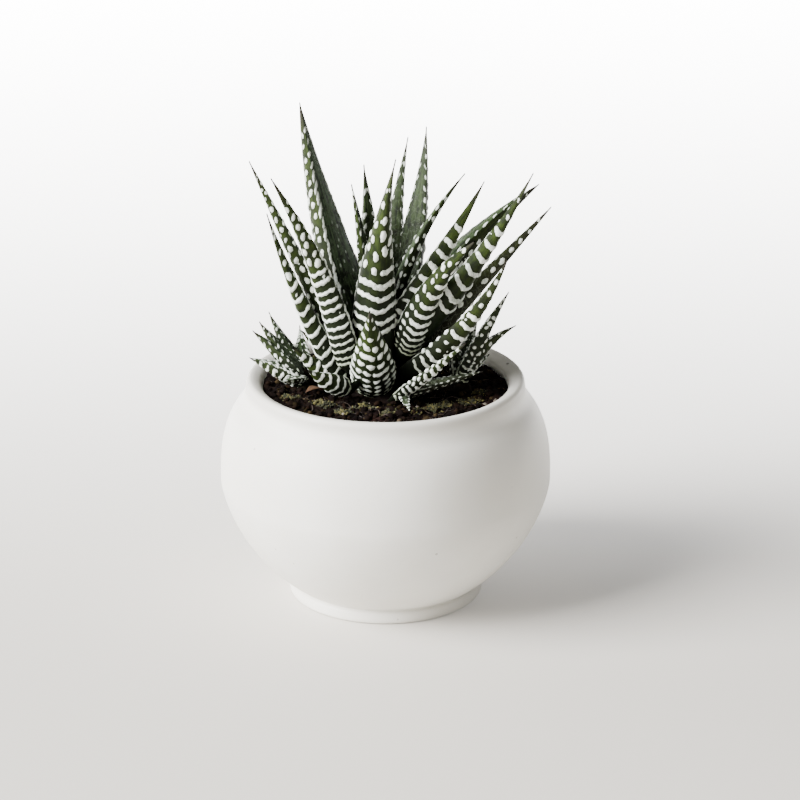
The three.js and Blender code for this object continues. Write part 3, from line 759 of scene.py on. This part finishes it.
def marks_of(look, length, edge_at, width_at, rng):
    """All the white marks of a leaf: its rows, its margins, its inner face, its ridge line and its specks"""
    look = dict(look, edge=edge_at(WIDEST_SHARE))
    ridge, ridge_half = look.get("ridge", (0, 0))
    marks = []
    at = look["start"]
    while at < length * look["end"]:
        share = at / length
        edge = edge_at(share)
        pitch = blend(look["pitch"], min(1.0, share / GROWN_SHARE)) * rng.uniform(*VARIED_PITCH)
        marks += row_of_marks(look, at, share, edge, pitch, rng)
        marks += margin_marks(look, at, share, edge, pitch, rng)
        marks += inner_marks(look, at, edge, width_at(share), rng)
        if ridge_half and share < look["line"]:
            wide = ridge_half * rng.uniform(*VARIED_RIDGE)
            marks.append((ridge * edge, at + 0.5 * pitch, 0, wide, pitch * RIDGE_LENGTH, 0))
        if rng.random() < look["specks"]:
            speck = rng.uniform(*SPECK_SIZE)
            across = rng.uniform(-SPECK_SPREAD, SPECK_SPREAD) * edge
            marks.append((across, at + pitch * rng.uniform(*SPECK_SHIFT), 0, speck, speck * 1.2, 0))
        at += pitch
    return marks


def ruffle(across, along, seed, waves):
    """How far a list of waves moves each point"""
    return sum(height * np.sin(wide * across + tall * along + turns * seed)
               for height, wide, tall, turns in waves)


def depth_in_marks(marks, along, across, seed):
    """How far each point lies inside a mark, in mm, and below 0 how far it lies outside every mark"""
    bent_along = along + ruffle(across, along, seed, RUFFLES_ALONG)
    bent_across = across + ruffle(across, along, seed, RUFFLES_ACROSS)
    field = np.full(along.shape, -MARK_REACH)
    lowest, highest = bent_along.min(axis=1), bent_along.max(axis=1)
    for x, y, run, wide, deep, slant in marks:
        first = np.searchsorted(highest, y - deep - MARK_REACH)
        last = np.searchsorted(lowest, y + deep + MARK_REACH)
        window = slice(first, last)
        aside = bent_across[window] - x
        beside = np.maximum(np.abs(aside) - run, 0) / wide
        ahead = (bent_along[window] - y - slant * aside) / deep
        inside = (1 - np.hypot(beside, ahead)) * min(wide, deep)
        np.maximum(field[window], inside, out=field[window])
    return field


# Leaves

def unit(vectors):
    return vectors / np.linalg.norm(vectors, axis=-1, keepdims=True)


class Leaf:
    """One leaf of a table: the bowed spine that it grows along, its width and its thickness"""

    def __init__(self, row, plant):
        azimuth, lean = math.radians(row["azimuth"]), math.radians(row["lean"])
        outward = np.array((math.cos(azimuth), math.sin(azimuth), 0))
        up = np.array((0, 0, 1))
        self.row = row
        self.length = row["length"]
        self.width = row["width"]
        self.ratio = row.get("thickness", THICKNESS_RATIO)
        self.look = dict(STYLES.get(row.get("style"), {}), **row.get("marks", {}))
        self.root = row.get("root", min(ROOT_DEPTH, row["reach"] + 2))
        self.sideways = np.array((-math.sin(azimuth), math.cos(azimuth), 0))
        self.growth = outward * math.sin(lean) + up * math.cos(lean)
        self.back = outward * math.cos(lean) - up * math.sin(lean)
        level = soil_height(plant["x"], plant["y"]) + row["height"]
        self.foot = (np.array((plant["x"], plant["y"], level)) + outward * row["reach"]
                     + self.sideways * row.get("side", 0))

    def spine(self, at):
        """Points of the spine at distances from the foot, which are under 0 in the root"""
        share = np.maximum(0, at / self.length)
        bend = 4 * share * (1 - share)
        inward = np.where(at < 0, ROOT_INWARD * self.row["reach"] * (at / self.root) ** 2, 0)
        return (self.foot + np.outer(at, self.growth)
                + np.outer(self.row.get("bow", 0) * bend - inward, self.back)
                + np.outer(self.row.get("sway", 0) * bend, self.sideways))

    def directions(self, at):
        """Unit vectors along the spine, out of the leaf's back and across it"""
        tangent = unit(self.spine(at + 0.5) - self.spine(at - 0.5))
        normal = unit(self.back - tangent * (tangent @ self.back)[:, None])
        twist = math.radians(self.row.get("twist", 0))
        normal = normal * math.cos(twist) - np.cross(tangent, normal) * math.sin(twist)
        return tangent, normal, np.cross(normal, tangent)

    def taper(self, share):
        """How wide the leaf is at a share of its length, from 1 near the foot to 0 at the tip"""
        along = np.clip(share, 0, 1)
        swell = 1 + WIDTH_SWELL * np.sin(np.pi * along)
        return (1 - along) ** (WIDTH_TAPER + self.row.get("slim", 0)) * swell

    def closing(self, at):
        """How the leaf narrows round its foot and in its root"""
        rounding = self.row.get("rounding", FOOT_ROUNDING)
        under = np.clip((rounding - at) / (rounding + self.root), 0, 1)
        return np.sqrt(1 - (1 - ROOT_END ** 2) * under ** 2)

    def width_at(self, share):
        return self.width * self.taper(share)

    def edge_at(self, share):
        """Distance over the outer face from its middle line to a margin"""
        wide = self.width / 2 * self.taper(share)
        deep = self.width * self.ratio * self.taper(share) ** THICKNESS_TAPER
        return QUARTER_TURN * np.sqrt((wide ** 2 + deep ** 2) / 2)

    def angles(self, grain):
        """Angles round the section: the outer face up to a half turn, and the inner one from there on"""
        face = QUARTER_TURN * self.width * math.hypot(0.5, self.ratio)
        outer_count = max(LEAST_OUTER_FACETS, round(face * OUTER_FINENESS / grain))
        marked = "inner" in self.look or "inner_band" in self.look
        coarseness = MARKED_INNER_GRAIN if marked else PLAIN_INNER_GRAIN
        inner_count = max(LEAST_INNER_FACETS, round(self.width / (coarseness * grain)))
        return np.concatenate([
            np.linspace(0, math.pi, outer_count, endpoint=False),
            np.linspace(math.pi, FULL_TURN, inner_count, endpoint=False),
        ])[None]

    def mark_depths(self, along, unrolled, edge, rng, seed):
        """How far each point of the skin lies inside a white mark"""
        if "style" not in self.row:
            return np.full(unrolled.shape, -MARK_REACH)
        marks = marks_of(self.look, self.length, self.edge_at, self.width_at, rng)
        middle, rise = self.look.get("curve", (0, 0))
        curved = along - rise * (np.clip(unrolled / edge, -CURVE_REACH, CURVE_REACH) - middle) ** 2
        return depth_in_marks(marks, curved, unrolled, seed)


def add_leaf(shape, row, plant, grain, seed, relief):
    """One leaf: thick and rounded outside, nearly flat on its inner face, with raised white marks"""
    leaf = Leaf(row, plant)
    at = np.linspace(-leaf.root, leaf.length, int((leaf.length + leaf.root) / grain) + 1)
    share = at / leaf.length
    tangent, normal, across = leaf.directions(at)
    closing = leaf.closing(at)
    size = leaf.taper(share) * closing
    half = np.maximum(TIP_HALF_WIDTH, leaf.width / 2 * size)[:, None]
    thick = leaf.width * leaf.ratio * size ** THICKNESS_TAPER * closing
    thick = np.maximum(TIP_THICKNESS, thick)[:, None]
    inner = np.maximum(TIP_INNER, leaf.width * INNER_RATIO * size)[:, None]

    angles = leaf.angles(grain)
    sines = np.sin(angles)
    cosines = np.cos(angles)
    outer_face = angles <= math.pi
    depth = np.where(outer_face, thick, inner)
    edge = leaf.edge_at(share)[:, None]
    beyond = edge + half * (1 - np.abs(cosines))
    on_inner_face = np.where(angles < 3 * QUARTER_TURN, -beyond, beyond)
    unrolled = np.where(outer_face, edge * (1 - angles / QUARTER_TURN), on_inner_face)
    along = np.broadcast_to(at[:, None], unrolled.shape)
    field = leaf.mark_depths(along, unrolled, edge, random.Random(seed), seed)
    swelling = np.sin(QUARTER_TURN * np.clip(field / MARK_SLOPE, 0, 1))
    raised = relief * swelling * np.clip(TIP_FLATTENING * size, 0, 1)[:, None]

    outside_across = cosines / half
    outside_normal = sines / depth
    outside = np.hypot(outside_across, outside_normal)
    step_across = half * cosines + raised * outside_across / outside
    step_normal = depth * sines - thick / 2 + raised * outside_normal / outside
    sag = BAND_SAG * leaf.width * size[:, None] * np.maximum(0, sines) ** 2
    points = (leaf.spine(at)[:, None] + across[:, None] * step_across[:, :, None]
              + normal[:, None] * step_normal[:, :, None] - tangent[:, None] * sag[:, :, None])
    first_end = leaf.spine(np.array([-leaf.root - ROOT_POINT]))[0] - normal[0] * thick[0] / 2
    last_end = leaf.spine(np.array([leaf.length + TIP_POINT]))[0] - normal[-1] * thick[-1] / 2

    def with_ends(values, first, last):
        spread = np.broadcast_to(values, unrolled.shape)
        return np.concatenate([spread.ravel(), [first, last]])

    layer = seed * LEAF_PLACES_APART
    shape.add(
        np.vstack([points.reshape(-1, 3), first_end, last_end]),
        tube_faces(len(at), unrolled.shape[1]),
        mark=with_ends(field, -MARK_REACH, -MARK_REACH),
        along=with_ends(share[:, None], 0, 1),
        inner=with_ends(np.clip(-sines * 4, 0, 1), 0, 0),
        tone=row.get("tone", PLAIN_TONE),
        place=np.stack([
            with_ends(unrolled / edge * leaf.width / 2, 0, 0),
            with_ends(along, -leaf.root, leaf.length),
            with_ends(layer, layer, layer),
        ], axis=1),
    )


def make_leaves(name, leaves, plant, finish, node, grain, seed, relief=MARK_HEIGHT):
    """Leaves of one plant as one piece, each with marks of its own"""
    shape = Shape()
    for index, row in enumerate(leaves):
        add_leaf(shape, row, plant, grain, seed + index, relief)
    return shape.piece(name, finish, "leaf", node)


def make_stem(name, plant, finish, node):
    """A stem: a plug in the soil, and over it a short cone of old leaf bases"""
    level = soil_height(plant["x"], plant["y"])
    outline = [(plant["radius"] * wide, level + plant["depth"] * deep + plant["rise"] * high + more)
               for wide, deep, high, more in STEM_OUTLINE]
    points, faces = turned(rounded(outline, 3), STEM_FACETS)
    for point in points:
        spot = Vector(point) * STEM_ROUGHNESS["scale"]
        rough = noise.turbulence(spot, STEM_ROUGHNESS["layers"], True) - 0.5
        point[:2] *= 1 + STEM_ROUGHNESS["relief"] * rough
    shape = Shape()
    shape.add(points + (plant["x"], plant["y"], 0), faces)
    return shape.piece(name, finish, "leaf", node)


# Colours of the finishes

# The lip colour in GLAZE is a painted shade laid over the lip from the neck up
GLAZE = dict(warm=(0.75, 0.73, 0.67), pale=(0.8, 0.785, 0.73), lip=(0.56, 0.54, 0.49),
             speck=(0.3, 0.27, 0.23), lip_speck=(0.12, 0.11, 0.1), scratch=(0.16, 0.14, 0.11))
EARTH_STOPS = [(0.3, (0.0016, 0.001, 0.001)), (0.5, (0.0042, 0.0025, 0.0021)), (0.7, (0.011, 0.0066, 0.0044))]
REDDISH_EARTH = (0.021, 0.008, 0.007)
CRUMB_STOPS = [(0.0, (0.0016, 0.001, 0.001)), (0.45, (0.0045, 0.0025, 0.0018)),
               (0.72, (0.0125, 0.0065, 0.0035)), (0.86, (0.0125, 0.0096, 0.0026)),
               (0.985, (0.05, 0.034, 0.016)), (0.995, (0.3, 0.26, 0.22))]
FIBRE_STOPS = [(0.0, (0.01, 0.006, 0.004)), (0.6, (0.03, 0.016, 0.01)), (0.9, (0.09, 0.065, 0.04))]
FIBRE_SHADE = (0.007, 0.004, 0.003)
MOSS_STOPS = [(0.0, (0.008, 0.010, 0.003)), (0.4, (0.028, 0.03, 0.006)), (0.75, (0.07, 0.064, 0.014)),
              (0.95, (0.14, 0.12, 0.03))]
MOSS_SHADE = (0.008, 0.006, 0.003)
FRESH_GREEN = (0.027, 0.042, 0.007)
DEEP_GREEN = (0.0070, 0.0102, 0.0044)
PUP_GREEN = (0.030, 0.044, 0.012)
# SKIN holds two painted shades: a shadow round the raised marks and a near-black shade towards a leaf's foot
SKIN = dict(brown=(0.012, 0.009, 0.006), grey=(0.042, 0.068, 0.03), net=(0.13, 0.15, 0.11),
            streak=(0.006, 0.0105, 0.005), fleck=(0.42, 0.46, 0.4), painted_shadow=(0.0048, 0.0068, 0.003),
            foot=(0.0028, 0.0036, 0.0018), tip=(0.022, 0.018, 0.016))
# The foot colour in CHALK is a painted shade on the marks near a leaf's foot
CHALK = dict(dull=(0.35, 0.385, 0.335), bright=(0.8, 0.835, 0.785), edge=(0.22, 0.26, 0.17),
             foot=(0.2, 0.24, 0.13))
SHEATH_STOPS = [(0.3, (0.002, 0.0018, 0.0012)), (0.55, (0.006, 0.005, 0.003)), (0.75, (0.022, 0.016, 0.009))]
WITHERED_STOPS = [(0.3, (0.018, 0.007, 0.002)), (0.5, (0.06, 0.022, 0.006)), (0.7, (0.15, 0.085, 0.025))]


# Finishes. The scales of patterns are per metre on the object, and per mm on a leaf's unrolled skin.

class Amount:
    """A number that changes over a surface. Arithmetic on it adds Math nodes."""

    def __init__(self, finish, socket):
        self.finish = finish
        self.socket = socket

    def math(self, operation, first, second):
        node = self.finish.node("ShaderNodeMath", {"operation": operation}, {0: first, 1: second})
        return Amount(self.finish, node.outputs[0])

    def __add__(self, other):
        return self.math("ADD", self, other)

    __radd__ = __add__

    def __mul__(self, other):
        return self.math("MULTIPLY", self, other)

    __rmul__ = __mul__

    def __sub__(self, other):
        return self.math("SUBTRACT", self, other)

    def __rsub__(self, other):
        return self.math("SUBTRACT", other, self)

    def between(self, low, high):
        """0 under low, 1 over high, and smooth between them"""
        settings = {"interpolation_type": "SMOOTHSTEP"}
        sockets = {"Value": self, "From Min": low, "From Max": high}
        node = self.finish.node("ShaderNodeMapRange", settings, sockets)
        return Amount(self.finish, node.outputs["Result"])


class Finish:
    """A material under the brush"""

    def __init__(self, name, **constants):
        self.material = bpy.data.materials.new(name)
        self.material.use_nodes = True
        self.tree = self.material.node_tree
        self.surface = next(n for n in self.tree.nodes if n.type == "BSDF_PRINCIPLED")
        for socket, value in constants.items():
            self.surface.inputs[socket.replace("_", " ").title().replace("Ior", "IOR")].default_value = value

    def node(self, kind, settings=None, sockets=None):
        """A node of a kind: its settings first, then the values or links of its sockets"""
        node = self.tree.nodes.new(kind)
        for name, value in (settings or {}).items():
            if name == "stops":
                self.set_stops(node.color_ramp, value)
            else:
                setattr(node, name, value)
        for name, value in (sockets or {}).items():
            if isinstance(value, Amount):
                self.tree.links.new(value.socket, node.inputs[name])
            elif isinstance(value, bpy.types.NodeSocket):
                self.tree.links.new(value, node.inputs[name])
            else:
                node.inputs[name].default_value = value
        return node

    def set_stops(self, ramp, stops):
        while len(ramp.elements) < len(stops):
            ramp.elements.new(0.5)
        for element, (place, colour) in zip(ramp.elements, stops):
            element.position = place
            element.color = (*colour, 1)

    def attribute(self, name):
        node = self.node("ShaderNodeAttribute", {"attribute_name": name})
        return Amount(self, node.outputs["Fac"])

    def stretched(self, vector, scale):
        """A place multiplied along each of its axes"""
        return self.node("ShaderNodeVectorMath", {"operation": "MULTIPLY"}, {0: vector, 1: scale}).outputs[0]

    def leaf_place(self, scale):
        """The place on a leaf's unrolled skin, in mm, stretched by a scale along each of its axes"""
        stored = self.node("ShaderNodeAttribute", {"attribute_name": "place"})
        return self.stretched(stored.outputs["Vector"], scale)

    def place(self, scale=(1, 1, 1)):
        """The place on the object, in metres, stretched by a scale along each of its axes"""
        return self.stretched(self.node("ShaderNodeTexCoord").outputs["Object"], scale)

    def axis(self, name):
        """One part of the place on the object, in metres"""
        parts = self.node("ShaderNodeSeparateXYZ", None, {0: self.place()})
        return Amount(self, parts.outputs[name])

    def noise(self, place, scale, detail=3):
        sockets = {"Vector": place, "Scale": scale, "Detail": detail, "Roughness": NOISE_ROUGHNESS}
        return Amount(self, self.node("ShaderNodeTexNoise", None, sockets).outputs["Fac"])

    def cells(self, place, scale, feature="F1"):
        """Distance to the nearest of scattered points, or to the nearest border between their cells"""
        node = self.node("ShaderNodeTexVoronoi", {"feature": feature}, {"Vector": place, "Scale": scale})
        return Amount(self, node.outputs["Distance"])

    def specks(self, place, scale, radius):
        """1 in small spots that are scattered over the surface"""
        return 1 - self.cells(place, scale).between(radius * 0.6, radius)

    def spot(self, centre, radius, stretch=(1, 1, 1)):
        """1 in a small spot at a place on the object, in mm"""
        sockets = {0: self.place(stretch), 1: [part * MM * scale for part, scale in zip(centre, stretch)]}
        distance = self.node("ShaderNodeVectorMath", {"operation": "DISTANCE"}, sockets).outputs["Value"]
        return 1 - Amount(self, distance).between(radius * MM * 0.5, radius * MM)

    def ramp(self, amount, stops):
        return self.node("ShaderNodeValToRGB", {"stops": stops}, {"Fac": amount}).outputs["Color"]

    def mix(self, share, first, second):
        """A colour between two colours"""
        node = self.node("ShaderNodeMix", {"data_type": "RGBA"}, {0: share, 6: rgba(first), 7: rgba(second)})
        return node.outputs[2]

    def paint(self, colour, roughness, height, distance, strength=1.0):
        """Feeds the surface with its colour, its roughness and its fine relief, whose distance is in mm"""
        sockets = {"Height": height, "Distance": distance * MM, "Strength": strength}
        bump = self.node("ShaderNodeBump", None, sockets)
        self.tree.links.new(colour, self.surface.inputs["Base Color"])
        self.tree.links.new(roughness.socket, self.surface.inputs["Roughness"])
        self.tree.links.new(bump.outputs["Normal"], self.surface.inputs["Normal"])
        return self.material


def rgba(colour):
    return (*colour, 1) if isinstance(colour, tuple) and len(colour) == 3 else colour


def pot_glaze():
    """Matt white ceramic: faint clouds and specks, a painted shade that greys the lip, and the lip's own speck
    and scratches
    """
    finish = Finish("matt_white_ceramic", roughness=0.5)
    place = finish.place()
    cloud = finish.noise(place, 28, 4)
    fine = finish.noise(place, 900, 2)
    # Painted shade that greys the lip from the neck up
    lip = finish.axis("Z").between(LIP_SHADE_START * MM, LIP_SHADE_FULL * MM)
    colour = finish.mix(cloud.between(0.35, 0.7), GLAZE["warm"], GLAZE["pale"])
    colour = finish.mix(lip * 0.8, colour, GLAZE["lip"])
    colour = finish.mix(finish.specks(place, 95, 0.055) * 0.5, colour, GLAZE["speck"])
    colour = finish.mix(finish.spot(LIP_SPECK, LIP_SPECK_RADIUS) * 0.8, colour, GLAZE["lip_speck"])
    for scratch in LIP_SCRATCHES:
        line = finish.spot(scratch, SCRATCH_RADIUS, SCRATCH_STRETCH)
        colour = finish.mix(line * 0.7, colour, GLAZE["scratch"])
    return finish.paint(colour, 0.44 + 0.14 * cloud, cloud * 0.5 + fine * 0.12, distance=0.3, strength=0.35)


def earth(name, tinted):
    """Dark potting soil: brown, reddish and purple-black, where each loose crumb has a tint of its own"""
    finish = Finish(name, roughness=0.92, specular_ior_level=0.04)
    place = finish.place()
    clods = finish.noise(place, 220, 5)
    grain = finish.noise(place, 1500, 3)
    patches = finish.noise(place, 60, 2)
    colour = finish.ramp(clods, EARTH_STOPS)
    colour = finish.mix(patches.between(0.5, 0.7) * 0.5, colour, REDDISH_EARTH)
    if tinted:
        colour = finish.mix(0.72, colour, finish.ramp(finish.attribute("tint"), CRUMB_STOPS))
    return finish.paint(colour, 0.8 + 0.18 * grain, clods * 0.6 + grain * 0.4, distance=0.6, strength=0.9)


def fibre_finish():
    """Bark: each fibre has a tint of its own, with dark streaks"""
    finish = Finish("bark_fibre", roughness=0.8)
    streak = finish.noise(finish.place(), 900, 2)
    colour = finish.mix(streak * 0.5, finish.ramp(finish.attribute("tint"), FIBRE_STOPS), FIBRE_SHADE)
    return finish.paint(colour, 0.7 + 0.2 * streak, streak, distance=0.2)


def moss_finish():
    """Moss: olive to yellow-green tufts with dark flecks"""
    finish = Finish("olive_moss", roughness=0.8)
    fleck = finish.noise(finish.place(), 700, 2)
    colour = finish.ramp(finish.attribute("tint"), MOSS_STOPS)
    colour = finish.mix(fleck.between(0.4, 0.75) * 0.6, colour, MOSS_SHADE)
    return finish.paint(colour, 0.75 + 0.2 * fleck, fleck, distance=0.2)


def leaf_skin(name, fresh, deep):
    """Succulent skin: two greens, lengthwise lines, a mottled inner face, and white marks in painted shade"""
    finish = Finish(name, roughness=0.45, specular_ior_level=0.08)
    lines = finish.noise(finish.leaf_place((1.3, 0.07, 1)), 1)
    mottle = finish.noise(finish.leaf_place((1, 1, 1)), 0.35)
    fine = finish.noise(finish.leaf_place((1, 1, 1)), 3.5, 2)
    along = finish.attribute("along")
    inner = finish.attribute("inner")
    tone = finish.attribute("tone")
    mark = finish.attribute("mark")

    # Green skin: fresh over deep green, brown where the tone says so, and grey on the inner face
    freshness = (mottle * 0.6 + lines * 0.4).between(0.34, 0.66) * along.between(0.15, 0.72)
    green = finish.mix(freshness, deep, fresh)
    green = finish.mix(tone.between(0.4, 1.0), green, SKIN["brown"])
    grey = inner * (1 - tone) * along.between(-0.05, 0.25)
    green = finish.mix(grey * (mottle + lines).between(0.8, 1.15) * 0.85, green, SKIN["grey"])

    # What marks the inner face and worn skin: a pale net, dark streaks and pale flecks
    grain = finish.place((1, 1, 0.55))
    net = 1 - finish.cells(grain, 620, "DISTANCE_TO_EDGE").between(0.03, 0.14)
    worn = inner + tone.between(0.57, 0.67)
    green = finish.mix(worn * net * (1 - along) * fine.between(0.4, 0.6) * 0.65, green, SKIN["net"])
    streaks = inner * (1 - lines.between(0.37, 0.47))
    green = finish.mix(streaks * 0.65, green, SKIN["streak"])
    flecks = inner * finish.specks(grain, 430, 0.24) * (1 - along.between(0.3, 0.62))
    green = finish.mix(flecks, green, SKIN["fleck"])

    # Painted shadow round the raised marks, painted shade that darkens the skin towards the foot, and a dry
    # tip
    # Painted shadow: the skin darkens just outside each raised mark
    painted_mark_shadow = mark.between(-0.9, 0.1) * (1 - 0.5 * along)
    green = finish.mix(painted_mark_shadow * 0.65, green, SKIN["painted_shadow"])
    # Painted shade: the skin goes nearly black towards the foot
    green = finish.mix((1 - along.between(-0.03, 0.24)) * 0.85, green, SKIN["foot"])
    green = finish.mix(along.between(0.84, 0.99) * 0.8, green, SKIN["tip"])

    # White marks: chalk with ragged, duller edges, and painted shade that dulls it near the foot
    ragged = mark + 0.1 * fine - 0.05
    white = ragged.between(-0.03, 0.13)
    chalk = finish.mix((mottle * 0.5 + fine * 0.5).between(0.34, 0.56), CHALK["dull"], CHALK["bright"])
    chalk = finish.mix((1 - ragged.between(0.03, 0.45)) * 0.5, chalk, CHALK["edge"])
    # Painted shade: the chalk dulls towards the foot
    chalk = finish.mix((1 - along.between(0.0, 0.24)) * 0.7, chalk, CHALK["foot"])
    roughness = 0.46 + 0.16 * white + 0.1 * fine
    height = lines * 0.35 + fine * 0.3 + white * 0.5
    return finish.paint(finish.mix(white, green, chalk), roughness, height, distance=0.12, strength=0.6)


def dry_sheath():
    """Old leaf bases: nearly black, with paler dry lines"""
    finish = Finish("old_leaf_bases", roughness=0.9, specular_ior_level=0.03)
    lines = finish.noise(finish.place((1, 1, 0.35)), 420, 4)
    return finish.paint(finish.ramp(lines, SHEATH_STOPS), 0.7 + 0.2 * lines, lines, distance=0.5)


def withered_skin():
    """Dry orange-brown skin with darker lines along the leaf"""
    finish = Finish("withered_leaf_skin", roughness=0.7)
    lines = finish.noise(finish.leaf_place((2.2, 0.3, 1)), 1, 4)
    return finish.paint(finish.ramp(lines, WITHERED_STOPS), 0.6 + 0.25 * lines, lines, distance=0.4)


# The object

make_pot(pot_glaze())
make_soil(earth("dark_soil", False))
make_crumbs(earth("soil_crumb", True))
make_fibres(fibre_finish())
make_moss(moss_finish())

rosette_skin = leaf_skin("rosette_leaf_skin", FRESH_GREEN, DEEP_GREEN)
pup_skin = leaf_skin("pup_leaf_skin", PUP_GREEN, DEEP_GREEN)
sheath = dry_sheath()
for name, leaves, plant, grain, seed in ROSETTE_PIECES:
    make_leaves(name, leaves, plant, rosette_skin, "main_rosette", grain, seed)
make_leaves("leaves_of_left_pup", LEFT_PUP_LEAVES, LEFT_PUP, pup_skin, "left_pup",
            grain=0.3, seed=101, relief=PUP_MARK_HEIGHT)
make_leaves("leaves_of_right_pup", RIGHT_PUP_LEAVES, RIGHT_PUP, pup_skin, "right_pup",
            grain=0.3, seed=111, relief=PUP_MARK_HEIGHT)
make_stem("crown_stem", dict(CROWN, radius=BARE_CROWN_RADIUS), sheath, "main_rosette")
make_stem("left_pup_stem", LEFT_PUP, sheath, "left_pup")
make_stem("right_pup_stem", RIGHT_PUP, sheath, "right_pup")

withered = Shape()
add_leaf(withered, WITHERED_LEAF, WITHERED_SPOT, grain=0.25, seed=131, relief=0)
withered.piece("withered_leaf_curl", withered_skin(), "withered_leaf", "withered_leaf")


# The stage: a pale floor that glows far behind the pot, a pale sky, and one large soft light from the left

floor_mesh = bpy.data.meshes.new("floor")
floor_corners = [(-FLOOR_REACH, -FLOOR_REACH, 0), (FLOOR_REACH, -FLOOR_REACH, 0),
                 (FLOOR_REACH, FLOOR_REACH, 0), (-FLOOR_REACH, FLOOR_REACH, 0)]
floor_mesh.from_pydata(floor_corners, [], [(0, 1, 2, 3)])
floor = bpy.data.objects.new("floor", floor_mesh)
bpy.context.scene.collection.objects.link(floor)
floor_paint = Finish("pale_floor", roughness=0.7, base_color=FLOOR_COLOUR, emission_strength=FLOOR_GLOW)
glow = floor_paint.mix(floor_paint.axis("Y").between(*FLOOR_GLOW_RANGE), (0, 0, 0), (1, 1, 1))
floor_paint.tree.links.new(glow, floor_paint.surface.inputs["Emission Color"])
floor_mesh.materials.append(floor_paint.material)

world = bpy.data.worlds.new("studio")
bpy.context.scene.world = world
world.use_nodes = True
sky = world.node_tree.nodes["Background"]
sky.inputs["Color"].default_value = SKY_COLOUR
sky.inputs["Strength"].default_value = SKY_STRENGTH

key_light = bpy.data.lights.new("key_light", "AREA")
key_light.size = KEY_LIGHT["size"]
key_light.energy = KEY_LIGHT["power"]
lamp = bpy.data.objects.new("key_light", key_light)
lamp.location = KEY_LIGHT["place"]
lamp.rotation_mode = "QUATERNION"
lamp.rotation_quaternion = (Vector(KEY_LIGHT["target"]) - Vector(KEY_LIGHT["place"])).to_track_quat("-Z", "Y")
bpy.context.scene.collection.objects.link(lamp)


# The camera, at the photograph's viewing angle

camera_data = bpy.data.cameras.new("camera")
camera_data.sensor_width = CAMERA["sensor"]
camera_data.lens = CAMERA["lens"]
camera_data.clip_start, camera_data.clip_end = CAMERA["clips"]
camera = bpy.data.objects.new("camera", camera_data)
camera.location = [part * MM for part in CAMERA["place"]]
camera.rotation_euler = (QUARTER_TURN - math.radians(CAMERA["pitch"]), 0, 0)
bpy.context.scene.collection.objects.link(camera)
bpy.context.scene.camera = camera
